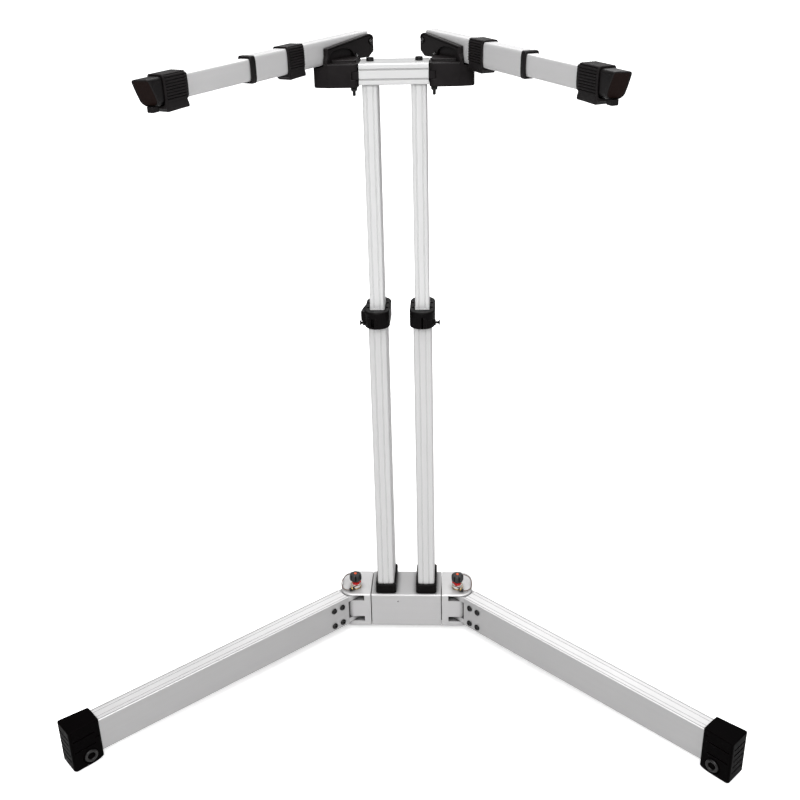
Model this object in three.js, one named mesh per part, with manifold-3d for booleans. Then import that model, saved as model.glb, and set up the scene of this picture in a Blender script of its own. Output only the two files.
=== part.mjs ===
// Twin-column keyboard stand: folding legs, telescoping twin columns, swinging and extending
// support arms.
// Millimetres, +Z up, X to the right, -Y towards the player.
// Origin: on the floor, under the middle of the centre block.
//
// Pairs named x, y or z are [low, high] ranges. `sign` is -1 on the left and +1 on the right.
// `inner` is the sign of the local y side of a leg or arm that faces the middle and the player.
import * as THREE from 'three';
import { mergeVertices } from 'three/addons/utils/BufferGeometryUtils.js';
import Module from 'manifold-3d';

const wasm = await Module();
wasm.setup();

// ---------------------------------------------------------------- driving dimensions
const OVER = 5; // how far a cutting tool runs past the face it opens

const BLOCK = { halfLength: 70, depth: 85.4, z: [9.8, 83.4] };
const CAVITY = { depth: 76.4, height: 61.2, y: 0.6 };
const SEAM = 0.15; // half the gap between the centre block and a hinge block
const HINGE_END = 130.8; // outer face of a hinge block
const SLOT = { x: 83.6, back: 4.2, upper: [69.2, 80.6], lower: [20.8, 31.8] };
const PIN = { x: 101.8, y: -14.4, diameter: 10 }; // leg hinge axis
const PAD = { halfLength: 118, y: [-10, 37], thickness: 9.6 };

const LEG = {
  angle: 47, // degrees away from straight forward
  x: [33.4, 612], // along the leg, from the hinge axis
  z: [18.3, 81.7],
  width: 35.9,
  wall: 2.8,
};
const LEG_GROOVES = [[-14, 0.5, 0.4], [0, 2.2, 0.7], [14, 0.5, 0.4]]; // [place, half width, depth]
const LEG_SCREWS = [[49.4, 30.4], [49.4, 65.3], [69.3, 30.4], [69.3, 65.3]]; // [x, z]
const FOOT = {
  x: [567.5, 623],
  top: 87.2,
  startWidth: 39.6,
  endWidth: 46.7,
  sole: { inset: 5.5, height: 6 },
  bevel: { x: 589, z: 9.8 }, // wedge cut away under the end nearer the hinge
};
const BOSS = { diameter: 24, bore: 13, x: 590, z: 21.5 }; // ring on the foot cap's inner side

const COLUMN = { x: 39.9, y: 1.5 };
const LOWER = { width: 32.5, depth: 70, wall: 3, z: [16.2, 668] };
const UPPER = { width: 25, depth: 57, wall: 2.4, z: [508, 1089.8] };
const SOCKET = { width: 40.4, depth: 78, top: 103.5 };
const COLLAR = { z: [645, 675.5], radius: 22.4, halfLength: 48.5, y: 0.5 };
const THUMB = { y: -26, z: 650.8 };

const BAR = { halfLength: 56.5, y: [-33.5, 36.5], z: [1060, 1093.7] };
const BAR_GROOVES = [1068.9, 1084.3]; // heights of the long grooves

const PIVOT = { x: 65, y: -29, bore: 6.6 }; // arm swing axis
const EYE = { radius: 7, z: [1069.4, 1081.6] }; // hinge eye on the crossbar
const FORK_GAP = 0.5; // above and below the eye
const HUB = {
  x: [57.2, 130],
  y: [-37, 37],
  z: [1056.5, 1090],
  top: BAR.z[1],
  step: 1098,
  chamfer: [[105, -37], [124.5, -31.6], [128.4, -29], [130, -24]], // front outer corner, [x, y]
};
const ARM = {
  origin: [120.4, -20.8, 1110.9], // point on the right arm's axis
  angle: 28, // degrees away from forward
  fall: 1.5, // degrees below level
  x: [-130, 180],
  width: 25,
  height: 38,
  wall: 2.4,
};
const INNER = { x: [64, 386], width: 19.4, height: 31.6, wall: 2 };
const ARM_SCREWS = [[-124, 3], [-80, -14.6]]; // [x, z] in the arm's frame
const TIP = {
  start: { left: 330, right: 323 },
  face: { x: 401.4, rise: 0.44, turn: 0.39 }, // slant per mm upwards and per mm inwards
  width: 23.2,
  bulge: 0.8,
  topRadius: 4.2,
  lowRadius: 9,
};
const REAR_GRIP = { left: [59.5, 102], right: [25, 68.5] };
const FRONT_GRIP = { left: [335, 380], right: [330, 375.5] };

// ---------------------------------------------------------------- numbers and outlines
const vector = (x, y, z) => new THREE.Vector3(x, y, z);
const basis = (xAxis, yAxis, zAxis) => new THREE.Matrix4().makeBasis(xAxis, yAxis, zAxis);
const radians = (degrees) => (degrees * Math.PI) / 180;
const middle = ([low, high]) => (low + high) / 2;
const length = ([low, high]) => high - low;
const grown = ([low, high], margin) => [low - margin, high + margin];
// range from `near` to `far` on one side of zero
const span = (sign, near, far) => (sign > 0 ? [near, far] : [-far, -near]);
// outline drawn for the right side, mirrored in x for the left
const sided = (sign, outline) => (sign > 0 ? outline : outline.map(([x, y]) => [-x, y]).reverse());

// points on an arc; angles in degrees
function arc(radius, start, turn, steps, x = 0, y = 0) {
  const points = [];
  for (let i = 0; i <= steps; i += 1) {
    const angle = radians(start + (turn * i) / steps);
    points.push([x + radius * Math.cos(angle), y + radius * Math.sin(angle)]);
  }
  return points;
}

const circle = (radius, steps) => arc(radius, 0, 360, steps).slice(0, -1);

// rectangle with one radius for all corners, or one each: [+x+y, -x+y, -x-y, +x-y]
function roundedRect(width, height, radius, steps, x = 0, y = 0) {
  const radii = Array.isArray(radius) ? radius : [radius, radius, radius, radius];
  return [[1, 1], [-1, 1], [-1, -1], [1, -1]].flatMap(([xSign, ySign], k) => {
    const r = radii[k];
    const cornerX = x + xSign * (width / 2 - r);
    const cornerY = y + ySign * (height / 2 - r);
    return r > 0 ? arc(r, 90 * k, 90, steps, cornerX, cornerY) : [[cornerX, cornerY]];
  });
}

// groove profile: [half widths along the face, share of the depth]
const GROOVE = [[-1, 0], [-0.5, 1], [0.5, 1], [1, 0]];

// Rounded rectangle with shallow grooves, each [place, half width, depth], listed in ascending
// order: xGrooves lie on the +-y faces, yGrooves on the +-x faces. `crown` is how far the
// +-y faces fall back from their middle panel to their corners.
function fluted({
  width, height, radius, xGrooves = [], yGrooves = [], underside = true, crown = 0,
}) {
  const corner = (xSign, ySign, start) => arc(radius, start, 90, 3,
    xSign * (width / 2 - radius), ySign * (height / 2 - crown - radius));
  const sideFace = (sign, grooves) => grooves.flatMap(([place, half, depth]) => GROOVE
    .map(([along, sunk]) => [sign * (width / 2 - sunk * depth), place + sign * along * half]));
  const endFace = (sign, grooves) => grooves.flatMap(([place, half, depth]) => GROOVE
    .map(([along, sunk]) => [place - sign * along * half, sign * (height / 2 - sunk * depth)]));
  return [
    ...sideFace(1, yGrooves),
    ...corner(1, 1, 0),
    ...endFace(1, [...xGrooves].reverse()),
    ...corner(-1, 1, 90),
    ...sideFace(-1, [...yGrooves].reverse()),
    ...corner(-1, -1, 180),
    ...(underside ? endFace(-1, xGrooves) : []),
    ...corner(1, -1, 270),
  ];
}

// arm tube section: flat top and bottom, gently bulging sides; `extra` grows it all over
function armSection({ width, height }, extra = 0) {
  const w = width + extra;
  const h = height + extra;
  const steps = 4;
  const flat = w * 0.36; // half width of the flat top
  const edge = [];
  for (let i = 0; i <= steps; i += 1) {
    const angle = (i / steps) * (Math.PI / 2);
    edge.push([
      flat + (w / 2 - flat) * Math.sin(angle) ** 0.8,
      (h / 2) * Math.cos(angle) ** 0.55,
    ]);
  }
  const lower = [...edge].reverse().slice(1).map(([x, y]) => [x, -y]);
  const half = [...edge, ...lower];
  return [...half, ...[...half].reverse().map(([x, y]) => [-x, y])].reverse();
}

// end cap section: tight upper corners, large lower corners, sides bowed outwards
function tipSection() {
  const { width, bulge, topRadius, lowRadius } = TIP;
  const radii = [topRadius, topRadius, lowRadius, lowRadius];
  const corners = roundedRect(width, ARM.height, radii, 4);
  const sideHeights = [-6, -2, 2, 6, 10];
  const outline = [
    ...corners.slice(0, 10),
    ...[...sideHeights].reverse().map((z) => [-width / 2, z]),
    ...corners.slice(10),
    ...sideHeights.map((z) => [width / 2, z]),
  ];
  const flat = width / 2 - 5; // nearer the middle than this, nothing is bowed
  return outline.map(([y, z]) => {
    const bow = Math.abs(y) > flat ? bulge * (1 - (z / (ARM.height / 2)) ** 2) : 0;
    return [y + Math.sign(y) * bow, z];
  });
}

// ---------------------------------------------------------------- solids
// shares vertices, drops empty triangles and turns the skin outwards
function weld(geometry) {
  const bare = geometry.clone();
  for (const name of Object.keys(bare.attributes)) {
    if (name !== 'position') bare.deleteAttribute(name);
  }
  // boolean results share their vertices already
  const welded = bare.userData.joined ? bare : mergeVertices(bare, 1e-4);
  const position = welded.getAttribute('position');
  const source = welded.index.array;
  const index = [];
  let volume = 0;
  for (let i = 0; i < source.length; i += 3) {
    const triangle = [source[i], source[i + 1], source[i + 2]];
    if (new Set(triangle).size === 3) {
      index.push(...triangle);
      const [a, b, c] = triangle.map((k) => vector().fromBufferAttribute(position, k));
      volume += a.dot(b.cross(c));
    }
  }
  if (volume < 0) {
    for (let i = 0; i < index.length; i += 3) {
      [index[i], index[i + 1]] = [index[i + 1], index[i]];
    }
  }
  welded.setIndex(index);
  return welded;
}

function toSolid(geometry) {
  const welded = weld(geometry);
  const mesh = new wasm.Mesh({
    numProp: 3,
    vertProperties: new Float32Array(welded.getAttribute('position').array),
    triVerts: new Uint32Array(welded.index.array),
  });
  mesh.merge();
  return new wasm.Manifold(mesh);
}

function indexed(positions, index) {
  const geometry = new THREE.BufferGeometry();
  geometry.setAttribute('position', new THREE.BufferAttribute(new Float32Array(positions), 3));
  geometry.setIndex(index);
  return geometry;
}

function toGeometry(solid) {
  const mesh = solid.getMesh();
  const geometry = indexed(mesh.vertProperties, Array.from(mesh.triVerts));
  geometry.userData.joined = true;
  return geometry;
}

const join = (...pieces) => toGeometry(pieces.map(toSolid).reduce((a, b) => a.add(b)));
const cut = (piece, ...tools) => toGeometry(
  tools.map(toSolid).reduce((a, b) => a.subtract(b), toSolid(piece)));
const common = (a, b) => toGeometry(toSolid(a).intersect(toSolid(b)));

function toShape(outline, holes = []) {
  const points = (pairs) => pairs.map(([x, y]) => new THREE.Vector2(x, y));
  const shape = new THREE.Shape(points(outline));
  holes.forEach((hole) => shape.holes.push(new THREE.Path(points(hole))));
  return shape;
}

// upright prism; a bevel eats into both ends without widening the outline
function prism(outline, z, { holes, bevel = 0, steps = 2 } = {}) {
  const geometry = new THREE.ExtrudeGeometry(toShape(outline, holes), {
    depth: length(z) - 2 * bevel,
    bevelEnabled: bevel > 0,
    bevelThickness: bevel,
    bevelSize: bevel,
    bevelOffset: -bevel,
    bevelSegments: steps,
  });
  return geometry.translate(0, 0, z[0] + bevel);
}

// prism along x with its section drawn in (y, z)
function prismX(outline, x, holes) {
  return prism(outline, x, { holes })
    .applyMatrix4(basis(vector(0, 1, 0), vector(0, 0, 1), vector(1, 0, 0)));
}

// prism along y with its section drawn in (x, z)
function prismY(outline, y) {
  return prism(outline, [-y[1], -y[0]])
    .applyMatrix4(basis(vector(1, 0, 0), vector(0, 0, 1), vector(0, -1, 0)));
}

function box(x, y, z) {
  return new THREE.BoxGeometry(length(x), length(y), length(z))
    .translate(middle(x), middle(y), middle(z));
}

const cylinder = (diameter, range, segments) => new THREE.CylinderGeometry(
  diameter / 2, diameter / 2, length(range), segments);
const rodX = (diameter, x, y, z, segments) => cylinder(diameter, x, segments)
  .rotateZ(Math.PI / 2).translate(middle(x), y, z);
const rodY = (diameter, y, x, z, segments) => cylinder(diameter, y, segments)
  .translate(x, middle(y), z);
const rodZ = (diameter, z, x, y, segments) => cylinder(diameter, z, segments)
  .rotateX(Math.PI / 2).translate(x, y, middle(z));

// turned piece along +z from a profile of [radius, height]
function turned(profile, segments) {
  const points = profile.map(([radius, z]) => new THREE.Vector2(radius, z));
  return weld(new THREE.LatheGeometry(points, segments).rotateX(Math.PI / 2));
}

// turned piece laid along y, its head on the side given by the sign
function turnedY(profile, segments, sign) {
  const piece = turned(profile, segments).rotateX(-Math.PI / 2);
  return sign < 0 ? piece.rotateZ(Math.PI) : piece;
}

// closed skin over horizontal rings of equal point count, listed from the bottom up
function stack(rings) {
  const count = rings[0].length;
  const index = [];
  for (let i = 0; i < rings.length - 1; i += 1) {
    for (let j = 0; j < count; j += 1) {
      const here = i * count + j;
      const next = i * count + ((j + 1) % count);
      index.push(here, next, next + count, here, next + count, here + count);
    }
  }
  const last = (rings.length - 1) * count;
  for (let j = 1; j < count - 1; j += 1) {
    index.push(0, j + 1, j, last, last + j, last + j + 1);
  }
  return indexed(rings.flat(2), index);
}

// ---------------------------------------------------------------- materials
const finish = (color, { roughness, metalness }) => new THREE.MeshStandardMaterial(
  { color, roughness, metalness });
const materials = {
  aluminium: finish(0xc9c9c9, { roughness: 0.35, metalness: 0.85 }),
  black_plastic: finish(0x1b191a, { roughness: 0.5, metalness: 0 }),
  black_cast: finish(0x222021, { roughness: 0.45, metalness: 0.3 }),
  rubber: finish(0x191818, { roughness: 0.85, metalness: 0 }),
  black_steel: finish(0x161616, { roughness: 0.35, metalness: 0.8 }),
  steel: finish(0xc4c4c6, { roughness: 0.25, metalness: 1 }),
  knob_grey: finish(0x3a3c3d, { roughness: 0.5, metalness: 0 }),
  brass: finish(0xb89a5b, { roughness: 0.3, metalness: 1 }),
  wire: finish(0x7a6a5c, { roughness: 0.4, metalness: 0.7 }),
};

function add(group, name, material, geometry) {
  const welded = weld(geometry);
  welded.computeVertexNormals();
  const mesh = new THREE.Mesh(welded, materials[material]);
  mesh.name = name;
  group.add(mesh);
}

// ---------------------------------------------------------------- base
// outline of an opening for a column tube
const columnBore = (tube, clearance, radius, sign) => roundedRect(
  tube.width + clearance, tube.depth + clearance, radius, 3, sign * COLUMN.x, COLUMN.y);
const pinBore = (x, y) => rodZ(PIN.diameter + 0.6, [0, 100], x, y, 16);

function centreBlock() {
  const z = middle(BLOCK.z);
  const outer = roundedRect(BLOCK.depth, length(BLOCK.z), [4, 4, 3, 3], 4, 0, z);
  const cavity = roundedRect(CAVITY.depth, CAVITY.height, 2, 2, CAVITY.y, z);
  const end = BLOCK.halfLength - SEAM;
  const openings = [-1, 1].map((sign) => prism(
    columnBore(LOWER, 0.6, 4.3, sign), [z, BLOCK.z[1] + OVER]));
  return cut(prismX(outer, [-end, end], [cavity]), ...openings);
}

// rubber strip under the base, set back from the front edge
function basePad() {
  const outline = roundedRect(2 * PAD.halfLength, length(PAD.y), 6, 3, 0, middle(PAD.y));
  return prism(outline, [0, PAD.thickness], { bevel: 0.8, steps: 1 });
}

function hingeBlock(sign) {
  const x = [BLOCK.halfLength + SEAM, HINGE_END];
  const outline = roundedRect(length(x), BLOCK.depth, [26, 0, 0, 21], 5, middle(x), 0);
  const slotX = span(sign, SLOT.x, HINGE_END + OVER);
  const slotY = [-BLOCK.depth / 2 - OVER, SLOT.back];
  return cut(prism(sided(sign, outline), BLOCK.z, { bevel: 2.2 }),
    box(slotX, slotY, SLOT.upper),
    box(slotX, slotY, SLOT.lower),
    pinBore(sign * PIN.x, PIN.y));
}

// lock pin: shaft and seven-lobed knob in one piece
function lockPin(sign) {
  const steps = 28;
  const lobes = [];
  for (let i = 0; i < steps; i += 1) {
    const angle = (i / steps) * 2 * Math.PI;
    const radius = 11.6 + 0.9 * Math.cos(7 * angle);
    lobes.push([radius * Math.cos(angle), radius * Math.sin(angle)]);
  }
  const knob = prism(lobes, [95.4, 114.5], { bevel: 1.8, steps: 1 });
  const r = PIN.diameter / 2;
  const shaft = turned(
    [[0, 12], [r - 1, 12], [r, 13.5], [r, 86.2], [9.3, 86.2], [9.3, 96], [0, 96]], 16);
  return join(knob, shaft).translate(sign * PIN.x, PIN.y, 0);
}

function pinWasher(sign) {
  const profile = [[5.4, 83.5], [10.6, 83.5], [10.6, 85.9], [5.4, 85.9], [5.4, 83.5]];
  return turned(profile, 20).translate(sign * PIN.x, PIN.y, 0);
}

// [x, y, z] stations of the right lanyard
const LANYARD = [
  [106.5, -28.2, 88.6], [112.4, -31.5, 87], [121.5, -29.5, 86.2],
  [128.6, -20.8, 86.6], [130.6, -9, 88.2], [128.6, 1.5, 91],
  [122.5, 9, 94.4], [114, 10.6, 96.4], [108.4, 5.2, 97.2],
];

function lanyard(sign) {
  const stations = LANYARD.map(([x, y, z]) => vector(sign * x, y, z));
  return new THREE.ExtrudeGeometry(toShape(circle(0.9, 6)), {
    steps: 22,
    bevelEnabled: false,
    extrudePath: new THREE.CatmullRomCurve3(stations),
  });
}

// ---------------------------------------------------------------- legs, local x along the leg
const legScrewBores = (diameter, y) => LEG_SCREWS.map(([x, z]) => rodY(diameter, y, x, z, 8));

// two round-ended tongues for the slots, and a body inside the tube
function legBracket(inner) {
  const tongue = [...arc(17, 90, 180, 8), [33.1, -17], [33.1, 17]];
  const body = join(
    prism(tongue, grown(SLOT.upper, -0.9)),
    prism(tongue, grown(SLOT.lower, -0.8)),
    box([32.5, 88], [-14.6, 14.6], [21.7, 78.4]));
  return cut(body,
    pinBore(0, 0),
    box([60, 100], [-9, 9], [36, 60]),
    ...legScrewBores(6.4, span(inner, 5, 30)));
}

function legTube(inner) {
  const { width, wall } = LEG;
  const height = length(LEG.z);
  const section = fluted({
    width, height, radius: 2, xGrooves: LEG_GROOVES, underside: false,
  });
  const hole = roundedRect(width - 2 * wall, height - 2 * wall, 1.5, 2);
  const tube = prismX(section, LEG.x, [hole]).translate(0, 0, middle(LEG.z));
  return cut(tube, ...legScrewBores(6.6, span(inner, 10, 25)));
}

// end sleeve of the leg, widening outwards and deep enough to stand on the floor
function footCap(inner) {
  const { x: [start, end], top, startWidth, endWidth, sole, bevel } = FOOT;
  const taper = (x) => 1 - ((1 - startWidth / endWidth) * (end - x)) / (end - start);
  const ring = ([inset, z]) => roundedRect(
    end - start - 2 * inset, endWidth - 2 * inset, [4, 2, 2, 4], 3, (start + end) / 2, 0)
    .map(([x, y]) => [x, y * taper(x), z]);
  const levels = [ // [inset, z]
    [sole.inset, 0], [0, sole.height], [0, top - 2], [1.2, top - 0.5], [2, top],
  ];
  const wedge = prismY([
    [start - OVER, -OVER], [bevel.x, -OVER], [bevel.x, 0],
    [start, bevel.z], [start - OVER, bevel.z],
  ], [-40, 40]);
  const pocket = box([start - OVER, LEG.x[1] + 0.4],
    grown([-LEG.width / 2, LEG.width / 2], 0.3), grown(LEG.z, 0.3));
  const cap = cut(stack(levels.map(ring)), wedge, pocket);

  const face = (endWidth * taper(BOSS.x)) / 2; // side of the cap at the boss
  const boss = cut(
    rodY(BOSS.diameter, span(inner, face - 1.6, face + 1.3), BOSS.x, BOSS.z, 22),
    rodY(BOSS.bore, span(inner, face - 2.2, face + 3), BOSS.x, BOSS.z, 16));
  return join(cap, boss);
}

const LEG_SCREW_PROFILE = [ // [radius, height], 0 under the button head
  [0, -10], [2.9, -10], [2.9, 0], [5.9, 0], [5.9, 0.9],
  [4.5, 2.9], [1.9, 3.4], [1.9, 1.4], [0, 1.4],
];

function buildLeg(side, sign) {
  const inner = -sign;
  const leg = new THREE.Group();
  leg.position.set(sign * PIN.x, PIN.y, 0);
  const angle = radians(LEG.angle);
  leg.rotation.z = Math.atan2(-Math.cos(angle), sign * Math.sin(angle));
  add(leg, `leg_bracket_${side}`, 'aluminium', legBracket(inner));
  add(leg, `leg_tube_${side}`, 'aluminium', legTube(inner));
  add(leg, `foot_cap_${side}`, 'black_plastic', footCap(inner));
  LEG_SCREWS.forEach(([x, z], i) => {
    const screw = turnedY(LEG_SCREW_PROFILE, 10, inner)
      .translate(x, inner * (LEG.width / 2 + 0.12), z);
    add(leg, `leg_screw_${side}_${i + 1}`, 'black_steel', screw);
  });
  return leg;
}

// ---------------------------------------------------------------- columns
const fineGrooves = (...places) => places.map((place) => [place, 0.8, 0.5]);

function columnSocket(sign) {
  const outline = roundedRect(SOCKET.width, SOCKET.depth, 6, 4, sign * COLUMN.x, COLUMN.y);
  return prism(outline, [BLOCK.z[1] + 0.1, SOCKET.top],
    { holes: [columnBore(LOWER, 0.6, 4.3, sign)] });
}

function lowerTube(sign) {
  const { width, depth, wall, z } = LOWER;
  const outline = fluted({
    width,
    height: depth,
    radius: 4,
    xGrooves: fineGrooves(-5.7, 5.7),
    yGrooves: fineGrooves(-17.5, 0, 17.5),
    crown: 0.7,
  });
  const hole = roundedRect(width - 2 * wall, depth - 2 * wall, 2, 3);
  return prism(outline, z, { holes: [hole] }).translate(sign * COLUMN.x, COLUMN.y, 0);
}

// lug on the outer side of the left collar, [x, y]
const LUG = [
  [-40, 18], [-61.8, 16], [-66.5, -6], [-69, -24], [-68, -30], [-60, -34], [-40, -34],
];

// capsule-shaped collar that grips the lower tube and guides the upper one
function clampCollar(sign) {
  const x = sign * COLUMN.x;
  const { z: [bottom, top], radius, halfLength, y } = COLLAR;
  const centre = halfLength - radius;
  const outline = [...arc(radius, 0, 180, 8, 0, centre), ...arc(radius, 180, 180, 8, 0, -centre)];
  let collar = prism(outline, COLLAR.z, { bevel: 3.2 }).translate(x, y, 0);
  if (sign < 0) collar = join(collar, prism(LUG, [655, 673], { bevel: 1.5 }));
  const topHoles = [[-16.4, 8], [-16.4, -17], [16.4, 8], [16.4, -17]]
    .map(([dx, dy]) => rodZ(4, [top - 6, top + OVER], x + dx, COLUMN.y + dy, 8));
  return cut(collar,
    prism(columnBore(LOWER, 0.7, 4.3, sign), [bottom - OVER, LOWER.z[1] + 0.3]),
    prism(columnBore(UPPER, 0.8, 3, sign), grown(COLLAR.z, OVER)),
    ...topHoles,
    rodX(4.7, span(sign, 50, 80), THUMB.y, THUMB.z, 10),
    // slit in the front, from below
    box([x - 0.8, x + 0.8], [y - 60, y - 34], [bottom - OVER, bottom + 24]));
}

function thumbScrew(sign) {
  const profile = [
    [0, 0], [1.9, 0], [1.9, 8.2], [2.6, 8.8], [2.2, 11.2], [4.4, 12.6], [4.6, 14.4], [0, 14.8],
  ];
  return turned(profile, 10).rotateY((sign * Math.PI) / 2)
    .translate(sign * 56.6, THUMB.y, THUMB.z);
}

// two chambers either side of a round screw port
function upperTube(sign) {
  const { width, depth, wall, z } = UPPER;
  const outline = fluted({
    width,
    height: depth,
    radius: 3,
    xGrooves: fineGrooves(-4.5, 4.5),
    yGrooves: fineGrooves(-14, 0, 14),
    crown: 0.6,
  });
  const chamber = (ySign) => {
    const half = width / 2 - wall;
    const far = depth / 2 - wall;
    const near = 2.6;
    const port = 5.2; // where the chamber steps back around the port
    return [
      [-half, near], [-5.5, near], [-4.4, port], [4.4, port],
      [5.5, near], [half, near], [half, far], [-half, far],
    ].map(([x, y]) => [x, ySign * y]);
  };
  return prism(outline, z, { holes: [chamber(1), chamber(-1), circle(3.2, 12)] })
    .translate(sign * COLUMN.x, COLUMN.y, 0);
}

// ---------------------------------------------------------------- crossbar
const pivotBore = (sign) => rodZ(PIVOT.bore, [1000, 1200], sign * PIVOT.x, PIVOT.y, 16);

function crossbar() {
  const width = length(BAR.y);
  const height = length(BAR.z);
  const [bottom, top] = BAR.z;
  const outline = fluted({
    width,
    height,
    radius: 2.2,
    yGrooves: BAR_GROOVES.map((z) => [z - middle(BAR.z), 1.8, 1]),
  });
  const bar = prismX(outline, [-BAR.halfLength, BAR.halfLength],
    [roundedRect(width - 7, height - 7, 1, 1)]).translate(0, middle(BAR.y), middle(BAR.z));
  return cut(bar, ...[-1, 1].flatMap((sign) => [
    prism(columnBore(UPPER, 0.6, 3.2, sign), [bottom - OVER, bottom + 8]),
    rodZ(6.8, [top - 8, top + OVER], sign * COLUMN.x, COLUMN.y, 16),
  ]));
}

function crossbarScrew(sign) {
  const profile = [ // heights from the top of the crossbar
    [0, -26], [2.9, -26], [2.9, 0.15], [6.2, 0.15], [6.2, 5.4],
    [5.4, 6.3], [2.9, 6.3], [2.9, 3], [0, 3],
  ].map(([radius, z]) => [radius, BAR.z[1] + z]);
  return turned(profile, 12).translate(sign * COLUMN.x, COLUMN.y, 0);
}

// end plate with the hinge eye that the arm bracket swings on
function crossbarHinge(sign) {
  const section = roundedRect(
    length(BAR.y) - 7.6, length(BAR.z) - 7.6, 1, 1, middle(BAR.y), middle(BAR.z));
  const eye = [
    ...arc(EYE.radius, -90, 180, 8, PIVOT.x, PIVOT.y),
    [55, PIVOT.y + EYE.radius], [55, BAR.y[0] + 4],
    [56.9, BAR.y[0] + 4], [57.4, PIVOT.y - EYE.radius],
  ];
  const plate = prismX(section, span(sign, 53, 56.4));
  return cut(join(plate, prism(sided(sign, eye), EYE.z)), pivotBore(sign));
}

// ---------------------------------------------------------------- arms, local x along the arm
function armMatrix(sign) {
  const angle = radians(ARM.angle);
  const fall = radians(ARM.fall);
  const along = vector(sign * Math.sin(angle) * Math.cos(fall),
    -Math.cos(angle) * Math.cos(fall), -Math.sin(fall));
  const across = vector(Math.cos(angle), sign * Math.sin(angle), 0);
  const up = vector().crossVectors(along, across).normalize();
  const [x, y, z] = ARM.origin;
  return basis(along, across, up).setPosition(sign * x, y, z);
}

const armScrewBores = (y) => ARM_SCREWS.map(([x, z]) => rodY(4.6, y, x, z, 8));

// outline of the bracket plate in the arm's frame, [x, z]
const PLATE_HEAD = [[5.6, 6.9], [5.6, -4], [8, -12], [8, -24]];
const PLATE_RECESS = [ // shallow arched recess in the face, open below
  [-1.5, -24], [-1.5, -8], [-4, -3.5], [-9, -0.2], [-18, 1.6], [-33, 2.2],
  [-48, 1.2], [-60, -1.8], [-68, -6], [-72, -11], [-73.5, -16], [-73.5, -24],
];
const PLATE_TAIL = [
  [-88, -24], [-92, -20.5], [-118, -22], [-134, -14], [-134, 6],
  [-131, 12], [-122, 15.2], [-113, 15.3], [-78, 12.7], [-32, 9.7],
];

// hinge hub beside the crossbar and the plate that carries the arm
function armBracket(sign, inner, matrix) {
  const inArm = (geometry) => geometry.applyMatrix4(matrix);
  // the square front outer corner gives way to the chamfer
  const plan = sided(sign, [
    ...roundedRect(length(HUB.x), length(HUB.y), [20, 3, 7.9, 0], 5, middle(HUB.x), 0)
      .slice(0, -1),
    ...HUB.chamfer,
  ]);
  const hub = prism(plan, HUB.z, { bevel: 2, steps: 1 });
  // the raised parts of the hub stop at the plate and below the arm's axis
  const innerSide = inArm(box([-200, 100], span(inner, 13.4, 120), [-60, 0]));
  const ledge = prism(plan, [HUB.z[0] + 8, HUB.top], { bevel: 1, steps: 1 });
  const step = prism(roundedRect(60, 52, 5, 3, sign * 90.5, 8), [HUB.top - 2, HUB.step],
    { bevel: 1.2, steps: 1 });
  const layer = (outline, near, far) => inArm(prismY(outline, span(inner, near, far)));
  const body = join(hub, common(ledge, innerSide), common(step, innerSide),
    layer([...PLATE_HEAD, ...PLATE_TAIL], 13.2, 16.4),
    layer([...PLATE_HEAD, ...PLATE_RECESS, ...PLATE_TAIL], 16, 20));

  // hinge fork: the crossbar's eye sits in a slot at mid height
  const slotZ = grown(EYE.z, FORK_GAP);
  const forkSlot = join(
    box(span(sign, 50, PIVOT.x), [HUB.y[0] - OVER, -20.6], slotZ),
    rodZ(16.4, slotZ, sign * PIVOT.x, PIVOT.y, 18));
  return cut(body, forkSlot, pivotBore(sign), ...armScrewBores(span(inner, 5, 40)).map(inArm));
}

function pivotBolt(sign) {
  const top = HUB.top - 0.4;
  const profile = [
    [0, 1043.2], [2.2, 1043.2], [2.6, 1044.2], [2.6, 1050.6], [4.9, 1052],
    [5.2, 1056.2], [3, 1056.2], [3, top], [0, top],
  ];
  return turned(profile, 12).translate(sign * PIVOT.x, PIVOT.y, 0);
}

function armTubeOuter(inner) {
  const { width, height, wall, x } = ARM;
  const hole = armSection({ width: width - 2 * wall, height: height - 2 * wall - 0.4 });
  return cut(prismX(armSection(ARM), x, [hole]), ...armScrewBores(span(inner, 2, 30)));
}

const ARM_SCREW_PROFILE = [ // [radius, height], 0 under the head
  [0, -12], [1.9, -12], [1.9, 0], [4.2, 0], [4.2, 1.6],
  [3.2, 2.6], [1.5, 2.6], [1.5, 1.2], [0, 1.2],
];

// ring closing the gap between the outer and inner tubes
function armRing() {
  const end = ARM.x[1];
  return prismX(armSection(ARM, 1.4), [end + 0.1, end + 10.5], [armSection(INNER, 0.7)]);
}

function armTubeInner() {
  return prismX(armSection(INNER), INNER.x, [armSection(INNER, -2 * INNER.wall)]);
}

// sleeve over the inner tube, with a slanted end face and a small nub under it
function armEndCap(side, inner) {
  const start = TIP.start[side];
  const { x, rise, turn } = TIP.face;
  const slant = box([0, 60], [-40, 40], [-40, 40]).applyMatrix4(new THREE.Matrix4().set(
    1, -inner * turn, rise, x,
    0, 1, 0, 0,
    0, 0, 1, 0,
    0, 0, 0, 1));
  const pocket = prismX(armSection(INNER, 0.6), [start - OVER, INNER.x[1] + 0.4]);
  const sleeve = cut(prismX(tipSection(), [start, x + 20]), slant, pocket);
  const nub = prism(roundedRect(14, 12, 3, 3, 391, 0), [-26, -18.2], { bevel: 1, steps: 1 });
  return join(sleeve, nub);
}

// rubber sleeve with a thicker underside and a lip
function grip([start, end]) {
  const foot = prismY([
    [start, -14], [start - 3, -26], [start - 3.2, -28.2], [start + 6, -28.4],
    [end - 10, -29.4], [end - 2, -27.5], [end, -23], [end, -14],
  ], [-11, 11]);
  return cut(join(prismX(armSection(ARM, 5.6), [start, end]), foot),
    prismX(armSection(ARM, 0.6), grown([start, end], 10)));
}

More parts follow.
